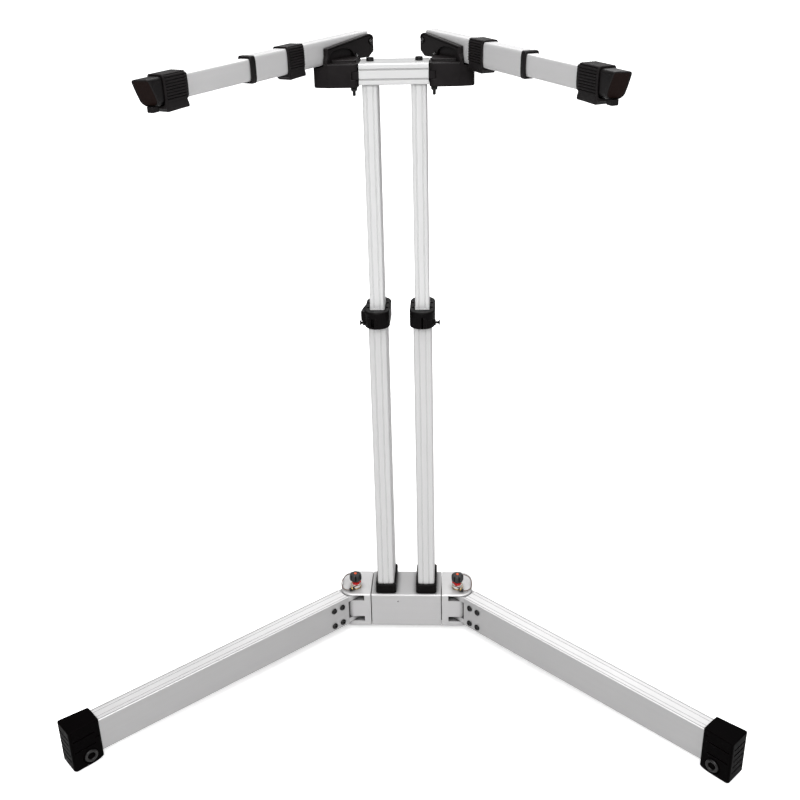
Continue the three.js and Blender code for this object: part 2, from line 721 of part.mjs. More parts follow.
function buildArm(side, inner, matrix) {
  const arm = new THREE.Group();
  arm.applyMatrix4(matrix);
  add(arm, `arm_tube_outer_${side}`, 'aluminium', armTubeOuter(inner));
  ARM_SCREWS.forEach(([x, z], i) => {
    const screw = turnedY(ARM_SCREW_PROFILE, 10, inner).translate(x, inner * 20.15, z);
    add(arm, `arm_screw_${side}_${i + 1}`, 'steel', screw);
  });
  add(arm, `arm_ring_${side}`, 'black_plastic', armRing());
  add(arm, `arm_tube_inner_${side}`, 'aluminium', armTubeInner());
  add(arm, `arm_end_cap_${side}`, 'black_plastic', armEndCap(side, inner));
  add(arm, `rear_grip_${side}`, 'rubber', grip(REAR_GRIP[side]));
  add(arm, `front_grip_${side}`, 'rubber', grip(FRONT_GRIP[side]));
  return arm;
}

// ---------------------------------------------------------------- assembly
const SIDES = [['left', -1], ['right', 1]];
const stand = new THREE.Group();

add(stand, 'centre_block', 'aluminium', centreBlock());
add(stand, 'base_pad', 'rubber', basePad());
for (const [side, sign] of SIDES) {
  add(stand, `hinge_block_${side}`, 'aluminium', hingeBlock(sign));
  add(stand, `lock_pin_${side}`, 'knob_grey', lockPin(sign));
  add(stand, `pin_washer_${side}`, 'brass', pinWasher(sign));
  add(stand, `lanyard_${side}`, 'wire', lanyard(sign));
  stand.add(buildLeg(side, sign));
}
for (const [side, sign] of SIDES) {
  add(stand, `column_socket_${side}`, 'black_plastic', columnSocket(sign));
  add(stand, `lower_tube_${side}`, 'aluminium', lowerTube(sign));
  add(stand, `clamp_collar_${side}`, 'black_plastic', clampCollar(sign));
  add(stand, `clamp_thumb_screw_${side}`, 'black_steel', thumbScrew(sign));
  add(stand, `upper_tube_${side}`, 'aluminium', upperTube(sign));
}
add(stand, 'crossbar', 'aluminium', crossbar());
for (const [side, sign] of SIDES) {
  add(stand, `crossbar_screw_${side}`, 'black_steel', crossbarScrew(sign));
  add(stand, `crossbar_hinge_${side}`, 'black_cast', crossbarHinge(sign));
}
for (const [side, sign] of SIDES) {
  const matrix = armMatrix(sign);
  add(stand, `arm_bracket_${side}`, 'black_cast', armBracket(sign, -sign, matrix));
  add(stand, `arm_pivot_bolt_${side}`, 'black_steel', pivotBolt(sign));
  stand.add(buildArm(side, -sign, matrix));
}

export default stand;
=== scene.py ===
# Twin-column keyboard stand: an aluminium block on the floor carries two splayed legs, two
# telescopic columns, a crossbar and two arms that reach forward.
# Metres, +Z up, same frame as the CAD: X runs left to right, the front faces -Y.
# Pieces are drawn in millimetres and scaled when their meshes are made.
from math import atan2, copysign, cos, exp, pi, radians, sin, sqrt

import bmesh
import bpy
import numpy as np
from mathutils import Matrix, Vector


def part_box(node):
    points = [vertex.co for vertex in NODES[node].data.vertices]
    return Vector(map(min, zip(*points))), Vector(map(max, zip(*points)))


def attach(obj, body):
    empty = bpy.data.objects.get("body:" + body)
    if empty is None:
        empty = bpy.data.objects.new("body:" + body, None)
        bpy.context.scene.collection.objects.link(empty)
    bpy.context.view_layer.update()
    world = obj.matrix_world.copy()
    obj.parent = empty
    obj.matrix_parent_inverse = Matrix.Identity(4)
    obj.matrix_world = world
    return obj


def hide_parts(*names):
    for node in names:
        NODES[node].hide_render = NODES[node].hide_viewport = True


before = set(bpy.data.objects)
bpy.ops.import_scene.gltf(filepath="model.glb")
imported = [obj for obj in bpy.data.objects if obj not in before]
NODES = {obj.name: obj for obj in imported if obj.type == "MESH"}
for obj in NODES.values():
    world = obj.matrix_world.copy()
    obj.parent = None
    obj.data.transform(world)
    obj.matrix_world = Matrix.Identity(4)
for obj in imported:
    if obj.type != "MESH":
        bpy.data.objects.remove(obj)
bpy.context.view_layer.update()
SCENE = bpy.context.scene
MM = 0.001
SIDES = (("left", -1), ("right", 1))  # name, sign of x

# ---------------------------------------------------------------- dimensions used by several sections, mm


def box(name):
    """Low and high corners of a CAD piece."""
    low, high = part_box(name)
    return [c * 1000 for c in low], [c * 1000 for c in high]


BLOCK_LOW, BLOCK_HIGH = box("centre_block")
BLOCK_FRONT, BLOCK_BACK = BLOCK_LOW[1], BLOCK_HIGH[1]
BLOCK_BOTTOM, BLOCK_TOP = BLOCK_LOW[2], BLOCK_HIGH[2]
PIN_X, PIN_Y = 101.8, -14.4

COLUMN_X, COLUMN_Y = 39.9, 1.5
LOWER_W, LOWER_D = 32.5, 70
UPPER_W, UPPER_D = 25, 57

BAR_HALF, BAR_Y0, BAR_Y1, BAR_Z0, BAR_Z1 = 56.5, -33.5, 36.5, 1060, 1093.7
ARM_W, ARM_H = 25, 38

# ---------------------------------------------------------------- shader graphs


class Graph:
    """A node tree that is cleared and filled."""

    def __init__(self, tree):
        self.tree = tree
        tree.nodes.clear()

    def add(self, kind, **props):
        node = self.tree.nodes.new(kind)
        for key, value in props.items():
            setattr(node, key, value)
        return node

    def link(self, source, target):
        self.tree.links.new(source, target)

    def feed(self, socket, value):
        """value: a socket to link, an RGB tuple or a number."""
        if isinstance(value, bpy.types.NodeSocket):
            self.link(value, socket)
        elif isinstance(value, tuple):
            socket.default_value = (*value, 1.0)
        else:
            socket.default_value = value

    def calc(self, operation, a, b, clamp=False):
        node = self.add("ShaderNodeMath", operation=operation, use_clamp=clamp)
        self.feed(node.inputs[0], a)
        self.feed(node.inputs[1], b)
        return node.outputs[0]


class Material(Graph):
    """A Principled material whose textures use object coordinates."""

    INPUTS = {
        "color": "Base Color",
        "metallic": "Metallic",
        "roughness": "Roughness",
        "specular": "Specular IOR Level",
        "coat": "Coat Weight",
        "coat_roughness": "Coat Roughness",
        "transmission": "Transmission Weight",
        "anisotropic": "Anisotropic",
        "emission": "Emission Strength",
        "normal": "Normal",
    }

    def __init__(self, name):
        self.material = bpy.data.materials.new(name)
        self.material.use_nodes = True
        super().__init__(self.material.node_tree)
        out = self.add("ShaderNodeOutputMaterial")
        self.bsdf = self.add("ShaderNodeBsdfPrincipled")
        self.link(self.bsdf.outputs[0], out.inputs[0])
        self.coord = self.add("ShaderNodeTexCoord")

    def noise(self, scale, detail=3.0, roughness=0.55):
        """scale: repeats per metre, one number or one for each axis."""
        mapping = self.add("ShaderNodeMapping")
        mapping.inputs["Scale"].default_value = scale if isinstance(scale, tuple) else (scale,) * 3
        self.link(self.coord.outputs["Object"], mapping.inputs["Vector"])
        node = self.add("ShaderNodeTexNoise")
        node.inputs["Scale"].default_value = 1.0
        node.inputs["Detail"].default_value = detail
        node.inputs["Roughness"].default_value = roughness
        self.link(mapping.outputs[0], node.inputs["Vector"])
        return node.outputs[0]

    def remap(self, value, to, span=(0.3, 0.7)):
        """Spreads the span of value over the range to."""
        node = self.add("ShaderNodeMapRange")
        node.inputs["From Min"].default_value, node.inputs["From Max"].default_value = span
        node.inputs["To Min"].default_value, node.inputs["To Max"].default_value = to
        self.link(value, node.inputs["Value"])
        return node.outputs["Result"]

    def mix(self, factor, a, b):
        node = self.add("ShaderNodeMix", data_type="RGBA")
        for index, value in ((0, factor), (6, a), (7, b)):
            self.feed(node.inputs[index], value)
        return node.outputs[2]

    def tint(self, mask, amount, a, b):
        """a, with b laid over it where the mask is 1, at the given strength."""
        return self.mix(self.calc("MULTIPLY", mask, amount), a, b)

    def edge(self, radius):
        """1 near a convex or concave edge, 0 on flat faces."""
        bevel = self.add("ShaderNodeBevel")
        bevel.samples = 4
        bevel.inputs["Radius"].default_value = radius
        geometry = self.add("ShaderNodeNewGeometry")
        dot = self.add("ShaderNodeVectorMath", operation="DOT_PRODUCT")
        self.link(bevel.outputs[0], dot.inputs[0])
        self.link(geometry.outputs["Normal"], dot.inputs[1])
        return self.remap(dot.outputs["Value"], to=(1.0, 0.0), span=(0.86, 0.995))

    def cavity(self, distance, span=(0.35, 0.95)):
        """0 deep in a groove or recess, 1 on open faces: the mask for painted shade."""
        occlusion = self.add("ShaderNodeAmbientOcclusion")
        occlusion.samples = 6
        occlusion.inputs["Distance"].default_value = distance
        return self.remap(occlusion.outputs["AO"], to=(0.0, 1.0), span=span)

    def facing_up(self):
        """1 on faces that look up, 0 on upright faces: the mask for painted light and shade on tops."""
        geometry = self.add("ShaderNodeNewGeometry")
        split = self.add("ShaderNodeSeparateXYZ")
        self.link(geometry.outputs["Normal"], split.inputs[0])
        return self.remap(split.outputs["Z"], to=(0.0, 1.0), span=(0.55, 0.9))

    def bump(self, height, distance, strength, under=None):
        """distance in metres; under: the bump this one is laid over."""
        node = self.add("ShaderNodeBump")
        node.inputs["Distance"].default_value = distance
        node.inputs["Strength"].default_value = strength
        self.link(height, node.inputs["Height"])
        if under is not None:
            self.link(under, node.inputs["Normal"])
        return node.outputs[0]

    def set(self, **values):
        for key, value in values.items():
            self.feed(self.bsdf.inputs[self.INPUTS[key]], value)


def scaled(color, factor):
    return tuple(c * factor for c in color)


def brighter(color, factor, lift=0.0):
    """Scaled and lifted, held at 1."""
    return tuple(min(1, c * factor + lift) for c in color)


# ---------------------------------------------------------------- materials
# rough: mean roughness; deep: reach of the painted shade in recesses, in metres; dark: tone of that
# painted shade against base


def aluminium(name, along, base, metallic=0.4, rough=0.38, streak=1.0, painted_top_tone=1.0,
              deep=0.0025, dark=0.38):
    """Satin anodised extrusion with die lines along one axis. The top-face factor paints light or shade
    onto upward faces.
    """
    m = Material(name)

    def lines(lengthwise, across):
        return tuple(lengthwise if axis == along else across for axis in "xyz")

    die = m.noise(lines(7, 1500), detail=2.0)
    band = m.noise(lines(3, 160), detail=2.0)
    grain = m.noise(2600, detail=2.0)
    mottle = m.noise(14)
    edge = m.edge(radius=0.0008)
    mottle_span = (0.35, 0.65)
    # broad bands, mottling, painted light and shade on upward faces, painted edge highlight, painted
    # shade in grooves
    color = m.mix(m.remap(band, to=(0, 1)), scaled(base, 0.988), brighter(base, 1.012))
    patches = m.remap(mottle, to=(0, 1), span=mottle_span)
    color = m.tint(patches, 0.25, color, scaled(base, 0.95))
    if painted_top_tone != 1.0:
        color = m.mix(m.facing_up(), color, scaled(base, painted_top_tone))
    color = m.tint(edge, 0.5, color, brighter(base, 1.3))
    color = m.mix(m.cavity(deep), scaled(base, dark), color)
    # die lines and mottling vary the roughness, edges are smoother
    roughness = m.calc("ADD", m.remap(die, to=(-0.02, 0.02)), rough)
    patches = m.remap(mottle, to=(-0.02, 0.03), span=mottle_span)
    roughness = m.calc("ADD", roughness, patches)
    roughness = m.calc("SUBTRACT", roughness, m.calc("MULTIPLY", edge, 0.06), clamp=True)
    lined = m.bump(die, distance=0.00001, strength=0.12 * streak)
    normal = m.bump(grain, distance=0.00001, strength=0.25, under=lined)
    m.set(color=color, metallic=metallic, roughness=roughness, specular=0.5, anisotropic=0.2,
          normal=normal)
    return m.material


def black_plastic(name, base, rough, grain, pale, spec, depth=0.00005, strength=0.5, deep=0.004):
    """Black moulding or painted casting. grain, depth, strength: its pebble; pale: tone of the painted
    edge highlight, which scuffs break up.
    """
    m = Material(name)
    pebble = m.noise(grain, roughness=0.6)
    flow = m.noise(35, detail=4.0, roughness=0.6)
    scuff = m.noise(420, detail=4.0, roughness=0.7)
    scuffs = m.remap(scuff, to=(0.45, 1.0), span=(0.35, 0.6))
    scuffed_edge_highlight = m.calc("MULTIPLY", m.edge(radius=0.0011), scuffs)
    # faint flow marks, painted edge highlight broken up by scuffs, painted shade in recesses
    color = m.mix(m.remap(flow, to=(0, 1)), scaled(base, 0.82), scaled(base, 1.25))
    color = m.tint(scuffed_edge_highlight, 0.75, color, scaled(base, pale))
    exposed = m.cavity(deep)
    color = m.mix(exposed, scaled(base, 0.1), color)
    roughness = m.calc("ADD", m.remap(flow, to=(-0.05, 0.06)), rough)
    roughness = m.calc("ADD", roughness, m.remap(pebble, to=(-0.04, 0.05)), clamp=True)
    pebbled = m.bump(pebble, distance=depth, strength=strength)
    normal = m.bump(flow, distance=0.0002, strength=0.10, under=pebbled)
    # specular is cut in recesses along with the painted shade
    m.set(color=color, roughness=roughness, specular=m.calc("MULTIPLY", exposed, spec),
          normal=normal)
    return m.material


def rubber(name, base, spec=0.12):
    m = Material(name)
    grain = m.noise(2200, roughness=0.65)
    cloud = m.noise(60, detail=4.0, roughness=0.6)
    dust = m.noise(180, detail=5.0, roughness=0.7)
    edge = m.edge(radius=0.0007)
    # clouding, a little grey dust, painted edge highlight, painted shade in the valleys
    color = m.mix(m.remap(cloud, to=(0, 1)), scaled(base, 0.85), scaled(base, 1.2))
    dusty = m.remap(dust, to=(0, 1), span=(0.52, 0.72))
    color = m.tint(dusty, 0.10, color, (0.035, 0.033, 0.032))
    color = m.tint(edge, 0.5, color, scaled(base, 2.8))
    exposed = m.cavity(0.0035, span=(0.45, 0.95))
    color = m.mix(exposed, scaled(base, 0.08), color)
    roughness = m.calc("ADD", m.remap(cloud, to=(-0.04, 0.06)), 0.46, clamp=True)
    grained = m.bump(grain, distance=0.00004, strength=0.4)
    normal = m.bump(cloud, distance=0.0002, strength=0.05, under=grained)
    # specular is cut in the valleys along with the painted shade
    m.set(color=color, roughness=roughness, specular=m.calc("MULTIPLY", exposed, spec),
          normal=normal)
    return m.material


def metal(name, base, rough, dirt, dark=(0.03, 0.028, 0.026), metallic=1.0):
    """Bare metal. dirt: strength of the clouds of the dark colour."""
    m = Material(name)
    fine = m.noise(900, detail=4.0, roughness=0.6)
    cloud = m.noise(260, detail=4.0, roughness=0.6)
    edge = m.edge(radius=0.0005)
    dirty = m.remap(cloud, to=(0, 1), span=(0.45, 0.7))
    color = m.tint(dirty, dirt, base, dark)
    # painted highlight along the edges
    color = m.tint(edge, 0.35, color, brighter(base, 1.8))
    roughness = m.calc("ADD", m.remap(cloud, to=(-0.05, 0.12)), rough, clamp=True)
    normal = m.bump(fine, distance=0.00002, strength=0.4)
    m.set(color=color, metallic=metallic, roughness=roughness, specular=0.5, normal=normal)
    return m.material


def glossy_plastic(name, base, rough, coat, transmission=0.0, spec=0.5):
    m = Material(name)
    cloud = m.noise(300)
    fine = m.noise(1800, detail=2.0)
    edge = m.edge(radius=0.0004)
    color = m.mix(m.remap(cloud, to=(0, 1)), scaled(base, 0.86), brighter(base, 1.1))
    # painted highlight along the edges
    color = m.tint(edge, 0.25, color, brighter(base, 1.5, lift=0.03))
    roughness = m.calc("ADD", m.remap(cloud, to=(-0.04, 0.06)), rough, clamp=True)
    normal = m.bump(fine, distance=0.00002, strength=0.4)
    m.set(color=color, roughness=roughness, coat=coat, coat_roughness=0.12,
          transmission=transmission, specular=spec, normal=normal)
    return m.material


MATERIALS = {
    # copies of one satin aluminium: their base and top tones differ to paint the light and shade that
    # falls on each part
    "alu_leg": aluminium("satin_aluminium_leg", "x", (0.54, 0.536, 0.538), painted_top_tone=1.42),
    "alu_arm": aluminium("satin_aluminium_arm", "x", (0.82, 0.815, 0.818), painted_top_tone=0.78),
    "alu_slide": aluminium("satin_aluminium_arm_slide", "x", (0.84, 0.835, 0.838), painted_top_tone=1.3),
    "alu_bar": aluminium("satin_aluminium_crossbar", "x", (0.80, 0.80, 0.80), metallic=0.3,
                         painted_top_tone=0.60, dark=0.3),
    "alu_low": aluminium("satin_aluminium_lower_column", "z", (0.77, 0.767, 0.767),
                         metallic=0.35, dark=0.3),
    "alu_up": aluminium("satin_aluminium_upper_column", "z", (0.88, 0.88, 0.88),
                        metallic=0.35, dark=0.3),
    "alu_block": aluminium("satin_aluminium_block", "x", (0.615, 0.609, 0.612), rough=0.43,
                           streak=0.5, painted_top_tone=0.81, deep=0.010, dark=0.10),
    "alu_hinge": aluminium("satin_aluminium_hinge", "x", (0.65, 0.643, 0.646), rough=0.43,
                           streak=0.5, deep=0.012, dark=0.06),
    "plastic": black_plastic("moulded_black_plastic", (0.0036, 0.0030, 0.0031), rough=0.36,
                             grain=1500, spec=0.07, pale=8),
    "cap": black_plastic("foot_cap_black", (0.0012, 0.0008, 0.0009), rough=0.42, grain=1300,
                         strength=0.4, spec=0.02, pale=14),
    "cast": black_plastic("black_casting", (0.0115, 0.0098, 0.0102), rough=0.40, grain=900,
                          depth=0.00006, spec=0.12, pale=4, deep=0.006),
    # lighter, glossier copy of the foot cap's black: paints a highlight on the foot ring
    "ring": black_plastic("foot_ring_black", (0.010, 0.009, 0.0092), rough=0.30, grain=1700,
                          strength=0.3, spec=0.45, pale=3),
    "endcap": black_plastic("end_cap_black", (0.0085, 0.0075, 0.0078), rough=0.34, grain=1900,
                            depth=0.00003, strength=0.3, spec=0.20, pale=4),
    "rubber": rubber("ribbed_black_rubber", (0.0120, 0.0102, 0.0106)),
    "label": glossy_plastic("plain_brown_label", (0.0105, 0.0046, 0.0036), rough=0.5,
                            coat=0.0, spec=0.1),
    "black_steel": black_plastic("blackened_steel", (0.0048, 0.0046, 0.0047), rough=0.24,
                                 grain=900, depth=0.00002, strength=0.3, pale=7, spec=0.35,
                                 deep=0.002),
    "steel": metal("zinc_plated_steel", (0.78, 0.78, 0.79), rough=0.18, dirt=0.25),
    "knob": black_plastic("knob_grey_plastic", (0.034, 0.034, 0.035), rough=0.40, grain=1700,
                          strength=0.4, pale=1.8, spec=0.30, deep=0.0035),
    "orange": glossy_plastic("orange_button", (0.90, 0.115, 0.022), rough=0.32, coat=0.2),
    "red": glossy_plastic("red_ring", (0.72, 0.022, 0.022), rough=0.28, coat=0.4),
    "clear": glossy_plastic("milky_ring", (0.90, 0.895, 0.88), rough=0.16, coat=0.8,
                            transmission=0.1),
    "brass": metal("brass", (0.62, 0.43, 0.20), rough=0.22, dirt=0.3, dark=(0.14, 0.08, 0.03)),
    "wire": metal("sleeved_wire", (0.20, 0.14, 0.12), rough=0.34, dirt=0.4,
                  dark=(0.05, 0.035, 0.03), metallic=0.6),
    "nylon": glossy_plastic("white_nylon", (0.74, 0.74, 0.74), rough=0.40, coat=0.1),
}

# ---------------------------------------------------------------- objects and modifiers


def link_object(name, mesh):
    ob = bpy.data.objects.new(name, mesh)
    SCENE.collection.objects.link(ob)
    return ob


def raw_mesh(name, verts, faces):
    mesh = bpy.data.meshes.new(name)
    mesh.from_pydata([tuple(c * MM for c in v) for v in verts], [], [list(f) for f in faces])
    return mesh


def make_object(name, verts, faces):
    mesh = raw_mesh(name, verts, faces)
    mesh.validate()
    ob = link_object(name, mesh)
    bm = bmesh.new()
    bm.from_mesh(mesh)
    bmesh.ops.recalc_face_normals(bm, faces=bm.faces)
    bm.to_mesh(mesh)
    bm.free()
    return ob


def shade(ob, angle):
    """Smooth faces, sharp edges from the given angle up."""
    bm = bmesh.new()
    bm.from_mesh(ob.data)
    for face in bm.faces:
        face.smooth = True
    for edge in bm.edges:
        edge.smooth = len(edge.link_faces) == 2 and edge.calc_face_angle(0) < radians(angle)
    bm.to_mesh(ob.data)
    bm.free()


def bake(ob):
    """The object's modifiers become its mesh."""
    bpy.context.view_layer.update()
    depsgraph = bpy.context.evaluated_depsgraph_get()
    mesh = bpy.data.meshes.new_from_object(ob.evaluated_get(depsgraph))
    old = ob.data
    ob.modifiers.clear()
    ob.data = mesh
    bpy.data.meshes.remove(old)


def cut(ob, *tools, operation="DIFFERENCE"):
    """Applies each tool in turn and removes it."""
    for tool in tools:
        boolean = ob.modifiers.new("cut", "BOOLEAN")
        boolean.operation = operation
        boolean.solver = "EXACT"
        boolean.object = tool
        bake(ob)
        bpy.data.objects.remove(tool)


def soften(ob, width, angle):
    bevel = ob.modifiers.new("edge", "BEVEL")
    bevel.width = width * MM
    bevel.segments = 2
    bevel.limit_method = "ANGLE"
    bevel.angle_limit = radians(angle)
    bevel.use_clamp_overlap = True
    bevel.harden_normals = False
    bevel.miter_outer = "MITER_ARC"
    bake(ob)


def merge(name, *parts):
    """One object holding the shells of all the parts."""
    bm = bmesh.new()
    for part in parts:
        copy = part.data.copy()
        copy.transform(part.matrix_world)
        bm.from_mesh(copy)
        bpy.data.meshes.remove(copy)
    mesh = bpy.data.meshes.new(name)
    bm.to_mesh(mesh)
    bm.free()
    for part in parts:
        bpy.data.objects.remove(part)
    return link_object(name, mesh)


def fuse(ob, voxel):
    """Fuses overlapping shells into one skin with small fillets, as a moulding has."""
    rounds = 2
    remesh = ob.modifiers.new("fuse", "REMESH")
    remesh.mode = "VOXEL"
    remesh.voxel_size = voxel * MM
    remesh.adaptivity = 0
    smooth = ob.modifiers.new("round", "SMOOTH")
    smooth.factor = 0.5
    smooth.iterations = rounds
    bake(ob)
    for face in ob.data.polygons:
        face.use_smooth = True


def move(x, y, z):
    return Matrix.Translation(Vector((x, y, z)) * MM)


def placed(ob, matrix):
    """Moves the mesh itself, so that it can be cut or merged in place."""
    ob.data.transform(matrix)
    return ob


def finish(ob, material, body, replaces=None, angle=35, matrix=None):
    """Shading, material, place and body; hides the CAD part it replaces. At angle 0 the shading stays as
    it is.
    """
    if angle:
        shade(ob, angle)
    if angle > 5:
        normals = ob.modifiers.new("normals", "WEIGHTED_NORMAL")
        normals.keep_sharp = True
        normals.weight = 80
        bake(ob)
    ob.data.materials.clear()
    ob.data.materials.append(MATERIALS[material])
    if matrix is not None:
        ob.matrix_world = matrix
    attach(ob, body)
    if replaces:
        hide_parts(replaces)


# ---------------------------------------------------------------- outlines


def arc(cx, cy, radius, start, sweep, steps):
    """Points on a circle; start and sweep in degrees."""
    angles = [radians(start + sweep * i / steps) for i in range(steps + 1)]
    return [(cx + radius * cos(a), cy + radius * sin(a)) for a in angles]


def rounded_rect(width, height, radius, steps=8, cx=0.0, cy=0.0):
    """radius: one, or four for the corners ++, -+, --, +-."""
    radii = radius if isinstance(radius, tuple) else [radius] * 4
    points = []
    corners = ((1, 1, 0), (-1, 1, 90), (-1, -1, 180), (1, -1, 270))
    for (sx, sy, start), r in zip(corners, radii):
        if r <= 0:
            points.append((cx + sx * width / 2, cy + sy * height / 2))
        else:
            x, y = cx + sx * (width / 2 - r), cy + sy * (height / 2 - r)
            points += arc(x, y, r, start, 90, steps)
    return points


def inset(points, distance):
    """Moves a counter-clockwise outline inwards."""
    if abs(distance) < 1e-9:
        return [tuple(p) for p in points]
    p = np.array(points, float)

    def unit(vectors):
        return vectors / (np.linalg.norm(vectors, axis=1)[:, None] + 1e-12)

    before = p - np.roll(p, 1, 0)
    after = np.roll(p, -1, 0) - p
    normal_before = unit(np.stack([before[:, 1], -before[:, 0]], 1))
    normal_after = unit(np.stack([after[:, 1], -after[:, 0]], 1))
    normal = unit(normal_before + normal_after)
    mitre = np.clip((normal * normal_before).sum(1), 0.5, 1)
    return [tuple(q) for q in p - normal * (distance / mitre)[:, None]]


def ccw(points):
    """The outline in counter-clockwise order."""
    pairs = zip(points, points[1:] + points[:1])
    area = sum(x0 * y1 - x1 * y0 for (x0, y0), (x1, y1) in pairs)
    return points if area > 0 else points[::-1]


def groove(half, depth, steps=6):
    """Rounded channel: offsets (along, down) from one lip to the other."""
    places = [-1 + 2 * i / steps for i in range(steps + 1)]
    return [(u * half, depth * min(1.0, 1.6 * (1 - abs(u)) ** 0.8)) for u in places]


def grooves(places, half, depth):
    return [(place, half, depth) for place in places]


def fluted(width, height, radius, end_grooves, side_grooves, ends="bt", crown=0.0):
    """Rectangle with channels: end_grooves on the +-y faces named in ends (t: +y, b: -y),
    side_grooves on the +-x faces; entries are (place, half width, depth)."""

    def corner(sx, sy, start):
        x, y = sx * (width / 2 - radius), sy * (height / 2 - crown - radius)
        return arc(x, y, radius, start, 90, 8)

    def side(sign):
        return [(sign * (width / 2 - down), y + sign * u)
                for y, half, depth in sorted(side_grooves)[::sign] for u, down in groove(half, depth)]

    def end(sign, key):
        if key not in ends:
            return []
        return [(x - sign * u, sign * (height / 2 - down))
                for x, half, depth in sorted(end_grooves)[::-sign] for u, down in groove(half, depth)]

    return (side(1) + corner(1, 1, 0) + end(1, "t") + corner(-1, 1, 90)
            + side(-1) + corner(-1, -1, 180) + end(-1, "b") + corner(1, -1, 270))


def arm_outline(width, height, steps=14):
    """Arm section: narrow flat top and bottom, swelling sides."""
    flat = width * 0.36
    quarter = []
    for i in range(steps + 1):
        a = (i / steps) * pi / 2
        x = flat + (width / 2 - flat) * sin(a) ** 0.8
        quarter.append((x, (height / 2) * max(0.0, cos(a)) ** 0.55))
    half = quarter + [(x, -y) for x, y in quarter[::-1][1:]]
    return ccw(half + [(-x, y) for x, y in half[::-1]])


def resample(points, count):
    """The closed outline as evenly spaced points, and its length."""
    closed = np.array(points + points[:1], float)
    steps = np.linalg.norm(closed[1:] - closed[:-1], axis=1)
    travelled = np.concatenate([[0], np.cumsum(steps)])
    wanted = np.linspace(0, travelled[-1], count, endpoint=False)
    columns = [np.interp(wanted, travelled, closed[:, k]) for k in (0, 1)]
    return np.stack(columns, 1), travelled[-1]


# ---------------------------------------------------------------- solids

AXES = {
    "z": lambda x, y, h: (x, y, h),
    "x": lambda x, y, h: (h, x, y),  # section in (y, z), runs along x
    "y": lambda x, y, h: (x, h, y),  # section in (x, z), runs along y
}


def loft(rings, caps=True, closed=False):
    """rings: lists of 3D points, same count. Returns verts, faces."""
    n = len(rings[0])
    verts = [p for ring in rings for p in ring]
    faces = []
    for i in range(len(rings) if closed else len(rings) - 1):
        a, b = i * n, ((i + 1) % len(rings)) * n
        for j in range(n):
            k = (j + 1) % n
            faces.append((a + j, a + k, b + k, b + j))
    if caps and not closed:
        faces.append(tuple(range(n - 1, -1, -1)))
        faces.append(tuple((len(rings) - 1) * n + j for j in range(n)))
    return verts, faces


def prism(name, points, h0, h1, round0=0.0, round1=0.0, axis="z", steps=4):
    """Outline pushed from h0 to h1, with rounded rims."""

    def rim(radius):
        if not radius:
            return [(0, 0)]
        angles = [(i / steps) * pi / 2 for i in range(steps + 1)]
        return [(radius * (1 - cos(a)), radius * (1 - sin(a))) for a in angles]

    points = ccw(points)
    levels = [(h0 + rise, d) for rise, d in rim(round0)]
    levels += [(h1 - rise, d) for rise, d in rim(round1)[::-1]]
    rings = [[AXES[axis](x, y, h) for x, y in inset(points, d)] for h, d in levels]
    return make_object(name, *loft(rings))


def tube(name, outer, inner, h0, h1, axis="z", chamfer=0.35):
    """Hollow extrusion; outer and inner outlines may have different counts."""
    verts, faces, starts, ends = [], [], set(), set()
    for points, bevel in ((ccw(outer), chamfer), (ccw(inner), -0.6 * chamfer)):
        rise = abs(bevel)
        levels = [(h0, bevel), (h0 + rise, 0), (h1 - rise, 0), (h1, bevel)]
        rings = [[AXES[axis](x, y, h) for x, y in inset(points, d)] for h, d in levels]
        wall, quads = loft(rings, caps=False)
        base = len(verts)
        verts += wall
        for quad in quads:
            faces.append([base + k for k in (quad if bevel > 0 else reversed(quad))])
        starts |= set(range(base, base + len(points)))
        ends |= set(range(len(verts) - len(points), len(verts)))
    mesh = raw_mesh(name, verts, faces)
    bm = bmesh.new()
    bm.from_mesh(mesh)
    for rim in (starts, ends):
        edges = [e for e in bm.edges
                 if len(e.link_faces) == 1 and all(v.index in rim for v in e.verts)]
        bmesh.ops.triangle_fill(bm, use_beauty=True, edges=edges)
    bmesh.ops.recalc_face_normals(bm, faces=bm.faces)
    bm.to_mesh(mesh)
    bm.free()
    return link_object(name, mesh)


def circle(radius, z, steps):
    angles = [2 * pi * j / steps for j in range(steps)]
    return [(radius * cos(a), radius * sin(a), z) for a in angles]


def aimed(verts, at, axis):
    """Turns +z to axis and moves the origin to at."""
    turn = Vector((0, 0, 1)).rotation_difference(Vector(axis)).to_matrix()
    return [tuple(turn @ Vector(v) + Vector(at)) for v in verts]


def lathe(name, profile, steps=40, at=(0, 0, 0), axis=(0, 0, 1)):
    """profile of (radius, height): axis to axis, or closed on itself when it is off the axis."""
    solid = profile[0][0] < 1e-6
    body = profile[1:-1] if solid else profile
    rings = [circle(radius, z, steps) for radius, z in body]
    verts, faces = loft(rings, caps=False, closed=not solid)
    if solid:
        pole, last = len(verts), (len(body) - 1) * steps
        verts += [(0, 0, profile[0][1]), (0, 0, profile[-1][1])]
        for j in range(steps):
            k = (j + 1) % steps
            faces.append((pole, k, j))
            faces.append((pole + 1, last + j, last + k))
    return make_object(name, aimed(verts, at, axis), faces)


def block(name, x0, x1, y0, y1, z0, z1):
    """Plain box; x0 and x1 in either order."""
    x0, x1 = sorted((x0, x1))
    corners = ((x0, y0), (x1, y0), (x1, y1), (x0, y1))
    verts = [(x, y, z) for z in (z0, z1) for x, y in corners]
    faces = [(3, 2, 1, 0), (4, 5, 6, 7), (0, 1, 5, 4), (1, 2, 6, 5), (2, 3, 7, 6), (3, 0, 4, 7)]
    return make_object(name, verts, faces)


def rod(name, diameter, h0, h1, x=0.0, y=0.0, steps=32, axis="z"):
    """Round bar; h0 and h1 in either order."""
    points = [(x + px, y + py) for px, py, _ in circle(diameter / 2, 0, steps)]
    return prism(name, points, *sorted((h0, h1)), axis=axis)


